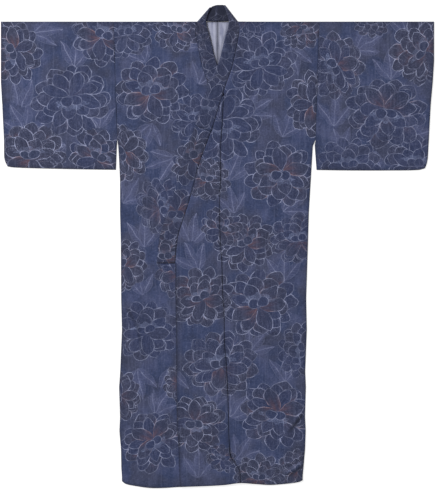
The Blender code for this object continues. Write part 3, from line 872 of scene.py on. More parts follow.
class Sketch:
    """Adds nodes to one node tree."""

    def __init__(self, tree):
        self.tree = tree

    def give(self, socket, value):
        if isinstance(value, Wire):
            self.tree.links.new(value.socket, socket)
        else:
            socket.default_value = value

    def node(self, kind, inputs=None, output=0, **settings):
        """One node: its settings first, then the values or links of its sockets."""
        node = self.tree.nodes.new(kind)
        for key, value in settings.items():
            setattr(node, key, value)
        for key, value in (inputs or {}).items():
            self.give(node.inputs[key], value)
        if output is None:
            return [Wire(self, socket) for socket in node.outputs]
        return Wire(self, node.outputs[output])

    def math(self, operation, *values, clamp=False):
        inputs = dict(enumerate(values))
        return self.node("ShaderNodeMath", inputs, operation=operation, use_clamp=clamp)

    def choose(self, factor, low, high):
        return self.node("ShaderNodeMix", {0: factor, 2: low, 3: high}, data_type="FLOAT", clamp_factor=True)

    def tint(self, factor, low, high):
        inputs = {0: factor, 6: low, 7: high}
        return self.node("ShaderNodeMix", inputs, output=2, data_type="RGBA", clamp_factor=True)

    def parts(self, vector):
        return self.node("ShaderNodeSeparateXYZ", {0: vector}, output=None)

    def vector(self, x, y, z):
        return self.node("ShaderNodeCombineXYZ", {0: x, 1: y, 2: z})

    def length(self, x, y):
        return self.node(
            "ShaderNodeVectorMath", {0: self.vector(x, y, 0.0)}, output="Value", operation="LENGTH",
        )

    def ramp_up(self, value, low, high):
        inputs = {"Value": value, "From Min": low, "From Max": high}
        return self.node("ShaderNodeMapRange", inputs, interpolation_type="SMOOTHSTEP")

    def noise(self, place, scale, detail, output=0):
        inputs = {"Vector": place, "Scale": scale, "Detail": detail}
        return self.node("ShaderNodeTexNoise", inputs, output=output)

    def drawn_noise(self, place, scales, detail):
        """A noise with a scale of its own along each axis, so that it is drawn out along one."""
        return self.noise(self.node("ShaderNodeMapping", {"Vector": place, "Scale": scales}), 1.0, detail)

    def drift(self, across, up, seed, scale, detail):
        """A slow noise that bends a figure, so that no two are drawn alike: -0.5 to 0.5 each way."""
        colour = self.noise(self.vector(across, up, seed), scale, detail, output="Color")
        drift_across, drift_up = self.parts(colour)[:2]
        return drift_across - 0.5, drift_up - 0.5


def figure_group(name, outputs):
    """A node group for a figure of the print: its sketch, and its place across, up and its number."""
    tree = bpy.data.node_groups.new(name, "ShaderNodeTree")
    tree.interface.new_socket("Place", in_out="INPUT", socket_type="NodeSocketVector")
    for output in outputs:
        tree.interface.new_socket(output, in_out="OUTPUT", socket_type="NodeSocketFloat")
    sketch = Sketch(tree)
    return sketch, sketch.parts(Wire(sketch, tree.nodes.new("NodeGroupInput").outputs[0]))


def finish_group(sketch, values):
    finish = sketch.tree.nodes.new("NodeGroupOutput")
    for socket, value in zip(finish.inputs, values):
        sketch.give(socket, value)
    return sketch.tree


print("node helpers:", ", ".join(name for name in vars(Sketch) if not name.startswith("_")))

# %% [markdown]
# Petals. The flower is drawn as a dyer would: three rings of pointed petals round a heart, the outermost
# first, so that the inner ones lie over it. The even petals of a ring lie over its odd ones. Each petal
# is one closed curve, with a random turn, length and width, and a light line just inside its edge.

# %% The flower
# petals, distance of their middles, half length, half width, shift of the ring, egg shape, point
RINGS = (
    (12, 0.765, 0.285, 0.222, 0.08, 0.10, 1.50),
    (10, 0.565, 0.315, 0.215, 0.03, 0.14, 1.42),
    (8, 0.370, 0.375, 0.200, -0.05, 0.24, 1.36),
)
LINE_FULL = 0.009
LINE_FADE = 0.024
# across, up, half length, half width, tilt in degrees and egg shape of the two petals at the heart
ROUND_PETALS = (
    (-0.098, 0.062, 0.196, 0.128, -24, -0.26),
    (0.112, 0.104, 0.172, 0.146, 36, 0.24),
)


def lay_petal(sketch, state, reached, span, along, tone, aside):
    """Draw one petal over what is there: its outline, then what the cloth's colour needs inside it."""
    inside = reached < 1.0
    line = sketch.ramp_up((1.0 - reached) * span, LINE_FADE, LINE_FULL)
    for key, value in (("line", line), ("along", along), ("tone", tone), ("aside", aside)):
        state[key] = sketch.choose(inside, state[key], value)
    state["inside"] = inside.most(state["inside"])
    state["stamen"] = state["stamen"] * (1.0 - inside)
    return inside


def ring_petals(sketch, radius, turn, seed, state, ring, parity):
    """Every second petal of a ring; each is found by the direction from the ring's middle."""
    petals, reach, half_long, half_wide, shift, egg, point = RINGS[ring]
    cells = petals // 2
    place = turn * cells + (0.5 * parity + 0.13 * ring) + seed * 3.0
    index = place.rounded()
    wrapped = sketch.math("FLOORED_MODULO", index, float(cells))
    dice = sketch.node(
        "ShaderNodeTexWhiteNoise",
        {"Vector": sketch.vector(wrapped + (ring * 23.0 + parity * 11.0), seed * 57.0, 0.0)},
        output="Color", noise_dimensions="2D",
    )
    first, second, third = sketch.parts(dice)
    angle = (place - index + (first - 0.5) * 0.20) * (2.0 * math.pi / cells)
    along = (radius * angle.cosine() - reach + (second - 0.5) * 0.12) / half_long
    aside = radius * angle.sine() / (half_wide * (1.0 + egg * along) * (0.86 + 0.26 * third))
    pointed = abs(aside).power((point - 0.30) + 0.34 * second)
    reached = (pointed + abs(along).power(2.2)).power(0.55)
    span = half_wide + abs(along) * (half_long - half_wide)
    lay_petal(sketch, state, reached, span, along, third, aside)

# %% [markdown]
# Stamens. Above two small round petals stands a tuft of stamens, drawn on the cloth as rows of tiny
# light arcs. Single strokes would vanish at this size, while arcs in shifted rows, like fish scales,
# keep the fuzzy look from near and far.

# %% The stamens
def stamen_tuft(sketch, across, up, seed):
    """Rows of small light arcs, like fish scales, fanning out above the round petals."""
    rise = up - 0.02
    radius = sketch.length(across * 0.70, rise)
    turn = sketch.math("ARCTAN2", across, rise)
    row = (radius - 0.13) / 0.046
    level = sketch.math("FLOOR", row)
    beside = (turn * 5.2 + level * 0.5 + seed * 7.0).fraction() - 0.5
    above = row.fraction() - 0.25
    arcs = sketch.ramp_up(abs(sketch.length(beside * 0.9, above) - 0.42), 0.24, 0.06)
    reach = 0.335 + 0.028 * (turn * 9.0 + seed * 90.0).sine()
    fan = (abs(turn) < 1.3) * (radius < reach) * (radius > 0.13)
    return fan * (0.22 + 0.78 * arcs)

# %% [markdown]
# The whole flower. All of it goes into one node group, because the print needs it twice, once for each
# layer of flowers. A slow noise bends the flower a little, so that no two of them are drawn alike.

# %% The whole flower
def flower_group():
    outputs = ("Inside", "Line", "Along", "Tone", "Aside", "Round", "Stamen", "Seed")
    sketch, (across, up, seed) = figure_group("flower", outputs)
    drift_across, drift_up = sketch.drift(across, up, seed * 19.0, 2.6, 1.5)
    across = (across + drift_across * 0.15) * 0.94
    up = (up + drift_up * 0.15) * 1.07
    state = dict.fromkeys(("line", "along", "tone", "aside", "inside", "stamen"), 0.0)
    for ring in range(len(RINGS)):
        shifted = up - RINGS[ring][4]
        radius = sketch.length(across, shifted)
        turn = sketch.math("ARCTAN2", shifted, across) / (2.0 * math.pi)
        for parity in (0, 1):
            ring_petals(sketch, radius, turn, seed, state, ring, parity)
    tuft = stamen_tuft(sketch, across, up, seed)
    state["stamen"] = tuft
    state["line"] = state["line"] * (1.0 - 0.7 * tuft)
    round_all = 0.0
    for middle_across, middle_up, half_long, half_wide, tilt, egg in ROUND_PETALS:
        cosine, sine = math.cos(math.radians(tilt)), math.sin(math.radians(tilt))
        off_across, off_up = across - middle_across, up - middle_up
        aside = (off_across * cosine + off_up * sine) / half_long
        along = (off_up * cosine - off_across * sine) / (half_wide * (1.0 + egg * aside))
        reached = (abs(aside).power(1.7) + abs(along).power(2.0)).power(0.55)
        round_all = lay_petal(sketch, state, reached, half_wide, 0.5, seed, aside).most(round_all)
    state["line"] = state["line"] * (1.0 - 0.22 * round_all)
    found = [state[key] for key in ("inside", "line", "along", "tone", "aside")]
    return finish_group(sketch, (*found, round_all, state["stamen"], seed))


FLOWER = flower_group()
print("flower group:", len(FLOWER.nodes), "nodes")

# %% [markdown]
# Leaves. A spray is three pointed leaves from a common foot, with a pale midrib and slanting veins. They
# are printed more softly than the flowers, as a broad pale fill. Their outline is a simple curve that
# is nothing at both ends of the leaf and widest near the foot.

# %% The leaves
# angle from the middle, length, half width
LEAVES = (
    (0.66, 0.88, 0.150),
    (-0.62, 0.92, 0.155),
    (0.02, 1.00, 0.170),
)


def leaf_group():
    sketch, (across, up, seed) = figure_group("leaf_spray", ("Inside", "Line", "Soft", "Seed"))
    drift_across, drift_up = sketch.drift(across, up, seed * 13.0, 2.2, 1.0)
    across = across + drift_across * 0.16
    up = up + drift_up * 0.10
    inside_all, line_all, soft_all = 0.0, 0.0, 0.0
    for angle, length, half_wide in LEAVES:
        along = across * math.sin(angle) + up * math.cos(angle)
        aside = abs(across * math.cos(angle) - up * math.sin(angle))
        share = sketch.math("ADD", along / length, 0.0, clamp=True)
        wide = share * (1.0 - share) * (1.25 - 0.5 * share) * (4.0 * half_wide)
        inside = aside < (wide - 0.0001)
        midrib = aside < 0.013
        rim = aside > (wide - 0.016)
        vein = ((along - aside * 0.8) * 11.0).fraction() < 0.16
        line = (midrib * 1.0).most(rim * 0.5).most(vein * 0.38)
        soft = 1.0 - aside / (wide + 0.001)
        inside_all = inside.most(inside_all)
        line_all = sketch.choose(inside, line_all, line)
        soft_all = sketch.choose(inside, soft_all, soft)
    return finish_group(sketch, (inside_all, line_all, soft_all, seed))


LEAF = leaf_group()
print("leaf group:", len(LEAF.nodes), "nodes")

# %% [markdown]
# Colours. The robe is dyed in close shades of blue and blue-grey, with pale lines and a little rust. The
# colours are given as they should show on the screen, and one function turns them into the linear
# values that Blender works with, allowing for the brightness of the lights.

# %% Cloth materials
LIGHT_LEVEL = 1.42            # how much brighter than its own colour the lit cloth shows


def paint(red, green, blue):
    """The linear colour of a cloth that shows as this screen colour under the scene's light."""
    values = []
    for value in (red, green, blue):
        share = value / 255.0
        linear = share / 12.92 if share <= 0.04045 else ((share + 0.055) / 1.055) ** 2.4
        values.append(linear / LIGHT_LEVEL)
    return (*values, 1.0)


GROUND = paint(59, 72, 112)
GROUND_WARM = paint(69, 75, 105)
LEAF_FILL = paint(94, 101, 142)
LEAF_LINE = paint(140, 146, 182)
PETAL_BLUE = paint(50, 60, 99)
PETAL_BROWN = paint(58, 62, 89)
PETAL_LINE = paint(192, 199, 236)
EMBER = paint(138, 92, 90)
EMBER_LINE = paint(176, 134, 128)
ROUND_BLUE = paint(46, 65, 106)
STAMEN = paint(142, 154, 194)
EDGE_DARK = paint(20, 25, 46)
WRONG_SIDE = paint(192, 195, 218)
WRONG_SIDE_DEEP = paint(150, 154, 182)
THREAD = paint(100, 107, 142)

# %% [markdown]
# Thread and finish. Plain cotton has threads both ways, a little uneven in thickness. Two noises, each
# stretched along one direction of the weave, give both the fine colour grain and the bump. The cloth
# is matt, with a faint sheen from its loose fibres.

# %% Thread and finish
def new_material(name):
    """A material, the sketch of its nodes and the place on the cloth."""
    material = bpy.data.materials.new(name)
    material.use_nodes = True
    sketch = Sketch(material.node_tree)
    return material, sketch, sketch.node("ShaderNodeTexCoord", output="Object")


def attribute(sketch, name, output="Vector"):
    return sketch.node("ShaderNodeAttribute", output=output, attribute_name=name)


def thread_grain(sketch, place):
    """Uneven threads both ways: one noise stretched along each direction of the weave."""
    across = sketch.drawn_noise(place, (900.0, 60.0, 60.0), 2.0)
    return (across + sketch.drawn_noise(place, (60.0, 900.0, 60.0), 2.0)) * 0.5


def shaded(sketch, colour, seam_dark_strength):
    """The painted shade and dirt of the seams and edges, this many times as strong, and the painted shade of
    folds and the collar, over everything.
    """
    worn = attribute(sketch, "worn", "Fac")
    shade = attribute(sketch, "shade", "Fac")
    return sketch.tint((worn * seam_dark_strength).most(shade), colour, EDGE_DARK)


def finish_cloth(sketch, colour, bump_height, place, rough_low, rough_high):
    shader = sketch.tree.nodes["Principled BSDF"]
    blotch = sketch.noise(place, 34.0, 3.0)
    sketch.give(shader.inputs["Base Color"], colour)
    sketch.give(shader.inputs["Roughness"], sketch.choose(blotch, rough_low, rough_high))
    shader.inputs["Specular IOR Level"].default_value = 0.25
    shader.inputs["Sheen Weight"].default_value = 0.12
    shader.inputs["Sheen Roughness"].default_value = 0.5
    bump = sketch.node("ShaderNodeBump", {"Strength": 0.35, "Distance": 0.0004, "Height": bump_height})
    sketch.give(shader.inputs["Normal"], bump)

# %% [markdown]
# Printing a flower. The group says where the petals and lines are, and this step gives them colour: two
# shades of petal, fine streaks along it, rust at the base of some, and lines that fade in and out as
# hand-drawn ones do.

# %% Printing a flower
def printed_flower(sketch, name, colour, faded):
    """The petals, their outlines, rust at some bases and the stamens, printed over colour."""
    bloom = sketch.node("ShaderNodeGroup", {0: attribute(sketch, name)}, output=None, node_tree=FLOWER)
    inside, line, along, tone, aside, rounded, stamen, seed = bloom
    petal = sketch.tint(sketch.ramp_up(tone * 0.5 + seed * 0.5, 0.30, 0.62), PETAL_BLUE, PETAL_BROWN)
    fibres = sketch.vector(aside * 5.0 + tone * 31.0, along * 0.9, seed * 17.0)
    streak = sketch.noise(fibres, 1.6, 2.0)
    petal = sketch.tint(sketch.ramp_up(streak, 0.50, 0.72) * 0.20, petal, LEAF_LINE)
    petal = sketch.tint(sketch.ramp_up(streak, 0.50, 0.30) * 0.30, petal, EDGE_DARK)
    warm = sketch.ramp_up(tone, 0.44, 0.72) * sketch.ramp_up(seed, 0.04, 0.35)
    glow = sketch.ramp_up(along, 0.45, -0.85) * warm * (0.62 + 0.38 * (aside * 6.0).sine())
    petal = sketch.tint(glow * 0.54, petal, EMBER)
    petal = sketch.tint(rounded * (0.34 * seed), petal, ROUND_BLUE)
    colour = sketch.tint(inside * (0.66 + 0.24 * seed), colour, petal)
    strength = (0.46 + 0.34 * seed) * (0.28 + faded)
    outline = sketch.tint(sketch.ramp_up(along, 0.7, -0.6) * warm * 0.85, PETAL_LINE, EMBER_LINE)
    colour = sketch.tint(inside * line * strength, colour, outline)
    return sketch.tint(stamen * (0.22 + 0.42 * faded), colour, STAMEN)

# %% [markdown]
# The printed cotton. The dye sits unevenly, so the ground is mottled on three scales before the leaves and
# flowers go on. Threads, painted shade and dirt at the seams and edges, and the painted shade of folds and
# the collar come last, over everything.

# %% The printed cotton
def printed_cotton():
    material, sketch, place = new_material("printed_cotton")
    patches = sketch.noise(place, 9.0, 2.0)
    colour = sketch.tint(sketch.ramp_up(patches, 0.44, 0.62), GROUND, GROUND_WARM)
    cloud = sketch.noise(place, 15.0, 3.0)
    colour = sketch.tint(sketch.ramp_up(cloud, 0.46, 0.68) * 0.46, colour, LEAF_FILL)
    colour = sketch.tint(sketch.ramp_up(cloud, 0.46, 0.30) * 0.26, colour, EDGE_DARK)
    faded = sketch.ramp_up(sketch.noise(place, 48.0, 2.0), 0.34, 0.66)

    spray = sketch.node("ShaderNodeGroup", {0: attribute(sketch, "leaf")}, output=None, node_tree=LEAF)
    inside, line, soft = spray[:3]
    colour = sketch.tint(inside * (0.20 + 0.50 * soft), colour, LEAF_FILL)
    colour = sketch.tint(inside * line * (0.25 + 0.55 * faded), colour, LEAF_LINE)
    for name in ("bloom_low", "bloom_top"):
        colour = printed_flower(sketch, name, colour, faded)

    grain = thread_grain(sketch, place)
    colour = sketch.tint(sketch.ramp_up(grain, 0.62, 0.36) * 0.22, colour, EDGE_DARK)
    mottle = sketch.noise(place, 210.0, 3.0)
    colour = sketch.tint(sketch.ramp_up(mottle, 0.52, 0.72) * 0.16, colour, LEAF_LINE)
    colour = sketch.tint(sketch.ramp_up(mottle, 0.48, 0.28) * 0.30, colour, EDGE_DARK)
    streak = sketch.drawn_noise(place, (150.0, 7.0, 7.0), 2.0)
    colour = sketch.tint(sketch.ramp_up(streak, 0.5, 0.7) * 0.10, colour, LEAF_LINE)
    finish_cloth(sketch, shaded(sketch, colour, 1.0), grain, place, 0.74, 0.92)
    return material

# %% [markdown]
# The wrong side. Only the right side is printed, and the dye shows through as faint clouds. The inside
# of the back, seen at the neck, is this side.

# %% The wrong side
def wrong_side():
    material, sketch, place = new_material("cotton_wrong_side")
    ghost = sketch.drawn_noise(place, (82.0, 17.0, 17.0), 3.0)
    colour = sketch.tint(sketch.ramp_up(ghost, 0.40, 0.66), WRONG_SIDE, WRONG_SIDE_DEEP)
    grain = thread_grain(sketch, place)
    colour = sketch.tint(sketch.ramp_up(grain, 0.6, 0.36) * 0.12, colour, EDGE_DARK)
    finish_cloth(sketch, shaded(sketch, colour, 0.6), grain, place, 0.78, 0.92)
    return material


RIGHT_SIDE_MATERIAL = printed_cotton()
WRONG_SIDE_MATERIAL = wrong_side()
print("materials:", RIGHT_SIDE_MATERIAL.name, WRONG_SIDE_MATERIAL.name)

# %% [markdown]
# Making a piece. A shell becomes a mesh with its attributes and two materials. It rides on the one body of
# the robe and stands for its CAD solid.
# Half the surface of a closed thin shell is the cloth itself.


def make_piece(shell, node, front_table, rests_on):
    mesh = bpy.data.meshes.new(shell.name)
    mesh.from_pydata(shell.points, [], shell.faces)
    mesh.update()
    sides = np.array(shell.sides)
    # The painted shade and dirt of seams and edges, and the painted shade of folds and the collar, go to the
    # materials as attributes.
    float_layer(mesh, "worn", "POINT", np.array(shell.worn))
    float_layer(mesh, "shade", "POINT", np.array(shell.shades))
    mesh.polygons.foreach_set("material_index", (sides == INSIDE).astype(np.int32))
    mesh.polygons.foreach_set("use_smooth", np.ones(len(sides), bool))
    open_edges = flip_if_inside_out(mesh)
    print_on(mesh, sides, front_table)
    mesh.materials.append(RIGHT_SIDE_MATERIAL)
    mesh.materials.append(WRONG_SIDE_MATERIAL)
    piece = add_object(shell.name, mesh)
    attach(piece, "root")
    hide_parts(node)
    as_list(rests_on)

# %% [markdown]
# A folded cloth. A body panel runs over the shoulder from front to back, and a sleeve is folded along
# its top, so both are two layers with a fold or a seam on some edges. The front layer gets the laid
# heights, the back lies flat, and the closed edges get a rounded outer line.

# %% A folded cloth
FOLD_BULGE = 0.5              # a closed edge's layers are drawn in by this, and its middle line isn't
NECK_HALF = 36.0              # half the width of the neck's opening at the shoulder
NECK_TIP_DOWN = 134.0
NECK_REGION = (60.0, 170.0)   # across and down: only here does the inside of the back show
COVERED_SHADE_AND_DIRT = 0.35           # of the painted shade and dirt at the seams, on the inside of the back


def neck_shade(places):
    """Shade on the inside of the back at the neck: a soft middle fold, and darker by the collar."""
    across, downs = np.abs(places[..., 0]), SHOULDER_Y - places[..., 1]
    fold = 0.66 * np.exp(-((across / 5.5) ** 2))
    opening = NECK_HALF * (1.0 - downs / NECK_TIP_DOWN)
    beside = 0.34 * np.exp(-np.clip(opening - across, 0.0, None) / 5.0)
    above = 0.50 * np.exp(-downs / 5.0)
    shown = (across < NECK_REGION[0]) & (downs < NECK_REGION[1])
    return np.where(shown, np.maximum(np.maximum(fold, beside), above), 0.0)


def folded_shell(name, front, front_heights, darkness, back, closed, beside_collar=-1.0):
    """A cloth folded over itself, as its solid is.

    closed gives, for the first, last, near and far edge, the row from which it is sewn or folded,
    or None where it is open.
    """
    shell = Shell(name)
    rows, columns = front_heights.shape
    first, last, near, far = closed

    def drawn_in(grid, amount):
        """The grid with its closed edges moved in by amount."""
        moved = grid.copy()
        for start, edge, beside in ((near, 0, 1), (far, -1, -2)):
            for j in range(rows if start is None else start, rows):
                moved[j, edge, 0] += math.copysign(amount, grid[j, beside, 0] - grid[j, edge, 0])
        if first is not None:
            moved[0, :, 1] -= amount
        if last is not None:
            moved[-1, :, 1] += amount
        return moved

    flat = np.zeros((rows, columns))
    # Painted shade and dirt at the seams and edges of both layers; the inside gets a little of it.
    front_worn = shade_and_dirt_of(front, darkness, beside_collar)
    back_worn = shade_and_dirt_of(back, darkness, -1.0)
    wide, narrow = FOLD_BULGE, FOLD_BULGE + SHELL
    inside_worn = back_worn * COVERED_SHADE_AND_DIRT
    layers = (
        shell.layer(drawn_in(back, wide), flat, back_worn),
        shell.layer(drawn_in(back, narrow), flat + SHELL, inside_worn, neck_shade(back)),
        shell.layer(drawn_in(front, narrow), front_heights - SHELL, front_worn),
        shell.layer(drawn_in(front, wide), front_heights, front_worn, fold_shades(front)),
    )
    for side, layer in zip((BACK, INSIDE, INSIDE, FRONT), layers):
        shell.sheet(side, layer)
    middles = {}

    def middle(j, i):
        """The outermost line of a fold, between the two outer layers."""
        if (j, i) not in middles:
            x, y = front[j, i]
            middles[(j, i)] = shell.point(x, y, front_heights[j, i] * 0.5)
        return middles[(j, i)]

    for shut_from, line in (
        (first, [(0, i) for i in range(columns)]),
        (last, [(rows - 1, i) for i in range(columns)]),
        (near, [(j, 0) for j in range(rows)]),
        (far, [(j, columns - 1) for j in range(rows)]),
    ):
        for (j, i), (j2, i2) in zip(line[:-1], line[1:]):
            low, low_in, high_in, high = ([layer[j][i], layer[j2][i2]] for layer in layers)
            if shut_from is not None and j >= shut_from:
                between = [middle(j, i), middle(j2, i2)]
                shell.strip(RIM, low, between)
                shell.strip(RIM, between, high)
                shell.strip(INSIDE, low_in, high_in)
            else:
                shell.strip(RIM, low, low_in)
                shell.strip(RIM, high_in, high)

    def end_face(j, i):
        shell.face(RIM, *(layer[j][i] for layer in layers), middle(j, i))

    for column, start in ((0, near), (columns - 1, far)):
        if first is not None and start != 0:
            end_face(0, column)
        if start is not None and start > 0:
            end_face(start, column)
        if (last is None) != (start is None):
            end_face(rows - 1, column)
    return shell


LAID = {}                     # the laid front of each panel, kept for the stitches along its hem
print("shell thickness:", SHELL, "mm")

# %% [markdown]
# Body panels. One length of cloth makes the front and back of each side, folded at the shoulder and
# sewn down the side seam below the sleeve. A box or a filled torso would be simpler, but the panels
# really are separate flat cloths, and the inside shows at the neck.

# %% Body panels
FRONT_DOWNS = even_steps(NOMINAL_HEM, GRID_STEP, EDGE_STEPS)


def shares_across(width):
    """Steps over a panel of about this width, as shares of it."""
    return np.array(even_steps(width, GRID_STEP, EDGE_STEPS)) / width


BODY_SHARES = shares_across(285.0)


def row_down(down, x):
    """The lower rows follow the uneven hem by degrees."""
    if down <= COLLAR_END_DOWN:
        return down
    share = (down - COLLAR_END_DOWN) / (NOMINAL_HEM - COLLAR_END_DOWN)
    return COLLAR_END_DOWN + share * (hem_down(x) - COLLAR_END_DOWN)


def body_places(side):
    column = 1 if side > 0 else 2
    rows = []
    for down in FRONT_DOWNS:
        outer = table_line(SIDE_EDGES, column, down)
        if down < OKUMI_TIP_DOWN:
            inner = collar_seam_x(down) + TUCK
        else:
            inner = table_curve(OKUMI_SEAM, column, down)
        xs = outer + (side * inner - outer) * BODY_SHARES
        rows.append([(x, SHOULDER_Y - row_down(down, x)) for x in xs])
    return np.array(rows)


def body_back_places(front):
    """The back reaches to the middle of the robe; it meets the front along the shoulder fold."""
    back = front.copy()
    for j in range(1, len(front)):
        xs = front[j, 0, 0] * (1.0 - BODY_SHARES)
        back[j, :, 0] = xs
        back[j, :, 1] = [SHOULDER_Y - row_down(FRONT_DOWNS[j], x) for x in xs]
    back[1, -1] = (0.0, SHOULDER_Y)
    return back


def row_below(downs, value):
    return next(number for number, down in enumerate(downs) if down > value)


def laid_front(name, side, places, relief):
    """Heights of a front panel, hemmed below; the left ones rise to the collar."""
    heights = laid_heights(name, places, relief, (False, True, False, False))
    if side > 0:
        heights = rise_to_collar(places, heights)
    LAID[name] = (places, heights)
    return heights


BODY_DARKNESS = (0.60, 0.66, 0.62, 0.48)
closed = (0, None, row_below(FRONT_DOWNS, SLEEVE_SEAM), None)
for side, name, table, rests in (
    (-1, "body_right", RIGHT_FRONT_FLOWERS, ["floor"]),
    (1, "body_left", LEFT_FRONT_FLOWERS, ["floor", "body_right", "okumi_right"]),
):
    places = body_places(side)
    heights = laid_front(name, side, places, 1.0)
    back = body_back_places(places)
    shell = folded_shell(name + "_cloth", places, heights, BODY_DARKNESS, back, closed, OKUMI_TIP_DOWN)
    make_piece(shell, name, table, rests)

# %% [markdown]
# Overlap panels. A half-width strip widens each front so that it can wrap over the other. It starts as
# a point under the collar and runs to the hem. It is a single cloth, so a top, a bottom and a narrow
# rim are enough.

# %% Overlap panels
TIP_GAP = 8.0                 # the cloth starts this far below the point that the seams would meet in


def single_shell(name, places, heights, darkness):
    shell = Shell(name)
    # Painted shade and dirt along the seams and edges of the overlap panel.
    worn = shade_and_dirt_of(places, darkness, COLLAR_END_DOWN)
    over = shell.layer(places, heights, worn, fold_shades(places))
    under = shell.layer(places, heights - SHELL, worn)
    shell.sheet(FRONT, over)
    shell.sheet(INSIDE, under)
    for edge in (0, -1):
        shell.strip(RIM, over[edge], under[edge])
        shell.strip(RIM, [row[edge] for row in over], [row[edge] for row in under])
    return shell


def okumi_places(side):
    column = 1 if side > 0 else 2
    shares = shares_across(150.0)
    top = OKUMI_TIP_DOWN + TIP_GAP
    rows = []
    for step in even_steps(NOMINAL_HEM - top, GRID_STEP, EDGE_STEPS):
        down = top + step
        seam = table_curve(OKUMI_SEAM, column, down)
        if down <= COLLAR_END_DOWN:
            edge = collar_seam_x(down) + TUCK
        else:
            edge = table_curve(OKUMI_FREE_EDGE, 1, down)
        xs = side * (seam + (edge - seam) * shares)
        rows.append([(x, SHOULDER_Y - row_down(down, x)) for x in xs])
    return np.array(rows)


OKUMI_DARKNESS = (0.0, 0.66, 0.48, 0.90)
for side, name, table, relief, rests in (
    (-1, "okumi_right", LEFT_FRONT_FLOWERS, 0.4, ["body_right", "body_left"]),
    (1, "okumi_left", LEFT_FRONT_FLOWERS, 1.0, ["body_right", "okumi_right"]),
):
    places = okumi_places(side)
    heights = laid_front(name, side, places, relief)
    shell = single_shell(name + "_cloth", places, heights, OKUMI_DARKNESS)
    make_piece(shell, name, table, rests)

# %% [markdown]
# Sleeves. Each is one cloth, folded along the top and sewn below, with a low rounded corner. The
# opening for the hand is at the upper part of the outer edge, and the inner edge hangs free below the
# armhole. The same folded cloth serves, with other edges closed.

# %% Sleeves
SLEEVE_DOWNS = even_steps(SLEEVE_DROP, GRID_STEP, EDGE_STEPS)


def sleeve_places(side):
    column = 1 if side > 0 else 2
    shares = shares_across(360.0)
    rows = []
    for down in SLEEVE_DOWNS:
        inner = table_line(SLEEVE_INNER_EDGES, column, down)
        cuff = table_line(CUFF_EDGES, column, down)
        lower = max(0.0, (down - SLEEVE_SEAM) / (SLEEVE_DROP - SLEEVE_SEAM))
        line = []
        for share in shares:
            bottom = table_curve(SLEEVE_BOTTOM, column, share)
            line.append((inner + (cuff - inner) * share, SHOULDER_Y - down - lower * (bottom - SLEEVE_DROP)))
        rows.append(line)
    return np.array(rows)


SLEEVE_DARKNESS = (0.60, 0.78, 0.60, 0.70)
closed = (0, 0, row_below(SLEEVE_DOWNS, SLEEVE_SEAM), row_below(SLEEVE_DOWNS, CUFF_OPENING))
for side, name in ((-1, "sleeve_right"), (1, "sleeve_left")):
    places = sleeve_places(side)
    heights = laid_heights(name, places, 1.0, (False, False, False, True))
    LAID[name] = (places, heights)
    shell = folded_shell(name + "_cloth", places, heights, SLEEVE_DARKNESS, places, closed)
    make_piece(shell, name, SLEEVE_FLOWERS, ["floor"])

# %% [markdown]
# The collar. A narrow band is sewn round the neck and down both fronts, and a shorter over-collar is
# wrapped round its upper part as a guard. At the neck the band turns over from lying on the back to
# lying on the front. A curve with a bevel can't turn like that without twisting, so the band is a
# ribbon of cross-sections, each with its own facing.

# %% Collar
WALL = 1.0
LAY_GAP = 0.5
CORE_HALF = WALL / 2.0
SHEATH_HALF = CORE_HALF + SEAM_GAP + WALL
TURN_RADIUS = SHEATH_HALF + LAY_GAP / 2.0
ACROSS = 10                   # points across the band
TURN_STEPS = 10
TURN_REACH = 7.0              # the turned fold runs this far down past the shoulder seam
BACK_RULINGS = 9
NECK_ROOM = 25.0              # above this the arms don't cross
MOST_HITS = 12                # faces that a ray down through the collars can meet
INWARD = 0.10                 # heights are read this share nearer to the middle of the band
BACK_LIFT = 0.05              # between the shoulder fold and the band behind the neck
UP = np.array((0.0, 0.0, 1.0))


def flat_point(x, down, z=0.0):
    return np.array((x, SHOULDER_Y - down, z))


def ruling_points(sewn, fold):
    return [sewn + (fold - sewn) * index / (ACROSS - 1) for index in range(ACROSS)]


def band_height(trees, point, side, sewn_down):
    """Middle of the band at a point: read from the side of the stack that the arm lies on."""
    sheathed = sewn_down < OVER_COLLAR_END - BEYOND
    tree, half, stack = (trees[0], SHEATH_HALF, 4) if sheathed else (trees[1], CORE_HALF, 2)
    hits = []
    start = Vector((point[0] * MM, point[1] * MM, 0.1))
    while start is not None and len(hits) < MOST_HITS:
        place = tree.ray_cast(start, Vector((0.0, 0.0, -1.0)))[0]
        start = None
        if place is not None:
            hits.append(place.z)
            start = place - Vector((0.0, 0.0, 1e-5))
    if side < 0 and sewn_down > NECK_ROOM and len(hits) > stack:
        hits = hits[stack:]
    if not hits:
        hits.append(tree.find_nearest(Vector((point[0] * MM, point[1] * MM, 0.005)))[0].z)
    return hits[0] / MM - half


def arm_sections(side):
    """Sections of one arm, resting on the solids' heights: over-collar first, bare band after."""
    trees = node_tree("over_collar"), node_tree("collar")
    sections, heights = [], []
    for sewn_x, sewn_down, fold_x, fold_down in ARM:
        sewn, fold = flat_point(side * sewn_x, sewn_down), flat_point(side * fold_x, fold_down)
        points = ruling_points(sewn, fold)
        inward = [point + (0.5 * (sewn + fold) - point) * INWARD for point in points]
        heights.append([band_height(trees, point, side, sewn_down) for point in inward])
        sections.append([points, UP])
    for (points, facing), line in zip(sections, smooth_heights(np.array(heights), 10)):
        for point, height in zip(points, line):
            point[2] = height
    return sections

# %% [markdown]
# Over the shoulder. Beside the neck the collar rolls over through half a circle, and behind the neck it
# lies face down. The rolled part reaches a little below the shoulder line, as the laid collar does.

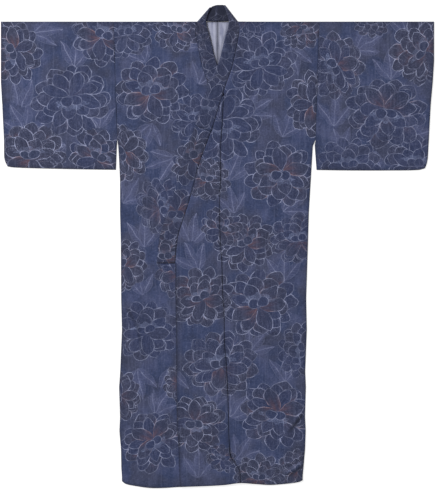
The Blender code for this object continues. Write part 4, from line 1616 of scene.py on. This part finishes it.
# %% Over the shoulder
def turn_sections(side):
    sewn_x, sewn_down, fold_x, fold_down = COLLAR_TURNS[side]
    sewn, fold = flat_point(sewn_x, sewn_down), flat_point(fold_x, fold_down)
    along = (fold - sewn) / np.linalg.norm(fold - sewn)
    outward = np.array((along[1], -along[0], 0.0)) * side
    lift = UP * (SHEATH_HALF + TURN_RADIUS)
    sections = []
    for step in range(TURN_STEPS + 1):
        angle = math.pi * step / TURN_STEPS
        facing = outward * math.sin(angle) - UP * math.cos(angle)
        reach = TURN_REACH * min(1.0, 2.5 * step / TURN_STEPS)
        ruling = ruling_points(sewn - along * reach, fold)
        points = [point + lift + facing * TURN_RADIUS for point in ruling]
        sections.append([points, facing])
    return sections


def back_sections(side):
    turn_sewn_x, turn_sewn_down, turn_fold_x, turn_fold_down = COLLAR_TURNS[side]
    sections = []
    for number in range(BACK_RULINGS + 1):
        part = number / (BACK_RULINGS + 1)
        sewn_y = SHOULDER_Y + BACK_LIFT - turn_sewn_down * part ** 6
        sewn = np.array((turn_sewn_x * part, sewn_y, SHEATH_HALF))
        top_down = BACK_TOP_DOWN + (turn_fold_down - TURN_BULGE - BACK_TOP_DOWN) * part ** 1.5
        fold = flat_point(turn_fold_x * part, top_down, SHEATH_HALF)
        sections.append([ruling_points(sewn, fold), -UP])
    return sections


def joined_ribbon(arms):
    """From the end of the left arm over the back of the neck to the end of the right one."""
    left, right = (back_sections(side) + turn_sections(side) + arms[side] for side in (1, -1))
    return left[::-1] + right[1:]

# %% [markdown]
# Bands from sections. Each cross-section becomes a ring of points, and rings are joined face by face.
# The inner band is solid because its seam allowances fill it; the over-collar is a sheath, two walls
# joined at the fold, so that the band can run through it.

# %% Bands from sections
ARM_SHADE, ARM_TOP_SHADE, ARM_SHADE_LENGTH = 0.19, 0.26, 250.0
TURN_SHADE = 0.42
TURN_X = 57.0
BACK_SHADE, BACK_CREASE_LIGHT, BACK_CREASE_X, BACK_CREASE_HALF = 0.83, 0.40, -6.0, 5.0


def shade_of(points):
    """Painted shade on the collar: deepest behind the neck, lighter on its middle crease, less on the turns
    and least down the arms.
    """
    x, down = points[0][0], SHOULDER_Y - points[0][1]
    if down > 1.0:
        return ARM_SHADE + ARM_TOP_SHADE * math.exp(-down / ARM_SHADE_LENGTH)
    if abs(x) > TURN_X:
        return TURN_SHADE
    return BACK_SHADE - BACK_CREASE_LIGHT * math.exp(-(((x - BACK_CREASE_X) / BACK_CREASE_HALF) ** 2))


def half_rings(shell, section, halves, inset, seam_dark, fold_worn):
    """Rings round a section, one for each half thickness: outside, round the fold, and back."""
    points, facing = section
    run = points[-1] - points[0]
    width = np.linalg.norm(run)
    places = [points[0] + (point - points[0]) * (1.0 - inset / width) for point in points]
    step = run * (1.0, 1.0, 0.0)
    step = step / np.linalg.norm(step)
    dark = shade_of(points)
    # Painted shade and dirt along both edges of the band and at its fold.
    worn = []
    for index in range(ACROSS):
        away = min(index, ACROSS - 1 - index) * width / (ACROSS - 1)
        worn.append(seam_dark * math.exp(-away / SHADE_AND_DIRT_REACH))
    for order, half in enumerate(halves):
        way = facing * (-1.0) ** order
        out = [shell.point(*(place + way * half), seam_dark_strength, dark) for place, seam_dark_strength in zip(places, worn)]
        fold = []
        for angle in (45.0, 90.0, 135.0):
            turn = math.radians(angle)
            spot = places[-1] + step * half * math.sin(turn) + way * half * math.cos(turn)
            fold.append(shell.point(*spot, fold_worn, dark))
        back = [shell.point(*(place - way * half), seam_dark_strength, dark) for place, seam_dark_strength in zip(places, worn)]
        yield out + fold + back[::-1]


def ribbon_shell(name, sections, sides, *measures):
    """A shell from rings round each section, closed at both ends; sides holds a side for each step."""
    shell = Shell(name)
    rings = [sum(half_rings(shell, section, *measures), []) for section in sections]
    count = len(sides)
    for near, far in zip(rings[:-1], rings[1:]):
        for index in range(count):
            after = (index + 1) % count
            shell.face(sides[index], near[index], near[after], far[after], far[index])
    for ring in (rings[0], rings[-1]):
        for index in range((count - 1) // 2):
            shell.face(RIM, ring[index], ring[index + 1], ring[count - index - 2], ring[count - index - 1])
    return shell


RING = 2 * ACROSS + 3         # points of a ring that runs out, round the fold and back
print("points round the band:", RING, "and round the sheath:", 2 * RING)

# %% [markdown]
# Both collars. The ribbon goes up one arm, across the back and down the other. The over-collar takes
# the same sections, and stops part of the way down each arm.

# %% Both collars
arms = {side: arm_sections(side) for side in (1, -1)}
fold_inset = WALL + SEAM_GAP + CORE_HALF
band = ribbon_shell(
    "collar_band", joined_ribbon(arms), [FRONT] * RING, (CORE_HALF,), fold_inset, 0.12, 0.3,
)
make_piece(band, "collar", COLLAR_FLOWERS, ["body_left", "body_right", "okumi_left"])
covered = {
    side: [section for section, ruling in zip(arms[side], ARM) if ruling[1] <= OVER_COLLAR_END]
    for side in (1, -1)
}
sheath_sides = [FRONT] * (RING - 1) + [RIM] + [INSIDE] * (RING - 1) + [RIM]
sheath = ribbon_shell(
    "over_collar_band", joined_ribbon(covered), sheath_sides,
    (SHEATH_HALF, SHEATH_HALF - SHELL), SHEATH_HALF, 0.10, 0.2,
)
make_piece(sheath, "over_collar", COLLAR_FLOWERS, ["collar"])

# %% [markdown]
# The hems of a yukata are slip-stitched by hand: only a small dot of thread shows on the right side
# every centimetre or so. Each dot is a flat bead of thread with six points, pressed into the cloth.
# They could be painted in the print, but as small solids they catch the light and survive close views.

# %% Hem stitches
STITCH_AWAY = 9.5             # from the hem's edge
STITCH_APART = 12.0
STITCH_HALF = 1.1
STITCH_THICK = 0.42
FREE_FROM = 8.0               # the free front edge is stitched from this far below the collar


def line_inside(points, heights, away):
    """Where each of a grid's lines, read from its hemmed end, is away from that end."""
    found = []
    for line, levels in zip(points, heights):
        distance = np.hypot(*(line - line[0]).T)
        spot = [np.interp(away, distance, line[:, axis]) for axis in (0, 1)]
        found.append((*spot, np.interp(away, distance, levels)))
    return np.array(found)


def stitch_beads(shell, path):
    run = np.concatenate([[0.0], np.cumsum(np.linalg.norm(np.diff(path, axis=0), axis=1))])
    count = int((run[-1] - 2.0 * STITCH_AWAY) / STITCH_APART)
    for number in range(count + 1):
        at = STITCH_AWAY + number * STITCH_APART + 0.9 * math.sin(number * 2.7)
        ends = [np.array([np.interp(at + shift, run, path[:, axis]) for axis in range(3)])
                for shift in (-STITCH_HALF, STITCH_HALF)]
        middle = (ends[0] + ends[1]) / 2.0
        step = (ends[1] - ends[0]) / np.linalg.norm(ends[1] - ends[0])
        aside = np.array((-step[1], step[0], 0.0)) * STITCH_THICK
        lift = UP * STITCH_THICK * 0.8
        round_it = [shell.point(*spot) for spot in (ends[0], middle - aside, ends[1], middle + aside)]
        top, bottom = (shell.point(*(middle + way * lift)) for way in (1.0, -1.0))
        for corner, after in zip(round_it, round_it[1:] + round_it[:1]):
            shell.face(FRONT, corner, after, top)
            shell.face(FRONT, after, corner, bottom)


def thread_material():
    material, sketch, place = new_material("sewing_thread")
    twist = sketch.noise(place, 1600.0, 1.0)
    colour = sketch.tint(sketch.ramp_up(twist, 0.4, 0.6) * 0.5, THREAD, LEAF_FILL)
    finish_cloth(sketch, colour, twist, place, 0.6, 0.8)
    return material


stitches = Shell("hem_stitches")
for name in ("body_left", "body_right", "okumi_left"):
    places, heights = LAID[name]
    stitch_beads(stitches, line_inside(places[::-1].transpose(1, 0, 2), heights[::-1].T, STITCH_AWAY))
cuff_rows = slice(0, row_below(SLEEVE_DOWNS, CUFF_OPENING) + 1)
free_downs = SHOULDER_Y - LAID["okumi_left"][0][:, 0, 1]
free_rows = slice(row_below(free_downs, COLLAR_END_DOWN + FREE_FROM), None)
for name, chosen in (("sleeve_left", cuff_rows), ("sleeve_right", cuff_rows), ("okumi_left", free_rows)):
    places, heights = LAID[name]
    stitch_beads(stitches, line_inside(places[chosen, ::-1], heights[chosen, ::-1], STITCH_AWAY))
stitch_mesh = bpy.data.meshes.new("hem_stitches")
stitch_mesh.from_pydata(stitches.points, [], stitches.faces)
stitch_mesh.materials.append(thread_material())
stitch_piece = add_object("hem_stitches", stitch_mesh)
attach(stitch_piece, "root")
print("stitches:", len(stitches.faces) // 8)

# %% [markdown]
# Stage and light. The photo is a plain catalogue view: white ground and even light. A floor that glows a
# little stays white without a strong lamp, and a large lamp high on the upper left, above a dim sky,
# keeps the shadows soft but still shows the folds.

# %% Stage, light and camera
PIXEL = 3.15 * MM
IMAGE_HEIGHT = 495
LENS = 135.0
SENSOR = 36.0
FLOOR_HALF = 40.0             # metres
FLOOR_DROP = 0.0004           # the floor lies this much below the robe, so that they don't flicker

corners = [(x * FLOOR_HALF, y * FLOOR_HALF, 0.0) for x, y in ((-1, -1), (1, -1), (1, 1), (-1, 1))]
floor_mesh = bpy.data.meshes.new("floor")
floor_mesh.from_pydata(corners, [], [(0, 1, 2, 3)])
floor = add_object("floor", floor_mesh)
floor.location.z = -FLOOR_DROP
floor_paint = bpy.data.materials.new("floor_paint")
floor_paint.use_nodes = True
for socket, value in (
    ("Base Color", (0.30, 0.30, 0.30, 1.0)),
    ("Emission Color", (1.0, 1.0, 1.0, 1.0)),
    ("Emission Strength", 0.78),
    ("Roughness", 0.95),
    ("Specular IOR Level", 0.1),
):
    floor_paint.node_tree.nodes["Principled BSDF"].inputs[socket].default_value = value
floor_mesh.materials.append(floor_paint)

world = bpy.data.worlds.new("studio")
world.use_nodes = True
background = world.node_tree.nodes["Background"]
background.inputs["Color"].default_value = (1.0, 1.0, 1.0, 1.0)
background.inputs["Strength"].default_value = 0.30
bpy.context.scene.world = world


def area_light(name, place, size, power):
    data = bpy.data.lights.new(name, "AREA")
    data.shape = "SQUARE"
    data.size = size
    data.energy = power
    lamp = add_object(name, data)
    lamp.location = place
    lamp.rotation_mode = "QUATERNION"
    lamp.rotation_quaternion = (-Vector(place)).to_track_quat("-Z", "Y")


area_light("key_light", (-5.8, 4.6, 5.6), 2.6, 1020.0)
area_light("fill_light", (3.0, -1.0, 4.5), 3.0, 36.0)

# %% [markdown]
# Camera. It looks straight down through a long lens, as for a flat product photo, from the height at
# which one pixel of the photo is 3.15 mm on the floor.

# %% Camera
camera_data = bpy.data.cameras.new("camera")
camera_data.lens = LENS
camera_data.sensor_width = SENSOR
camera = add_object("camera", camera_data)
camera.location = (0.0, -PIXEL, IMAGE_HEIGHT * PIXEL * LENS / SENSOR)
bpy.context.scene.camera = camera
bpy.context.scene.view_settings.view_transform = "Standard"
print("camera height", round(camera.location.z, 3), "m")

# %% [markdown]
# Sizes. The dressed robe must stay inside the box of its solids but for a little fullness.
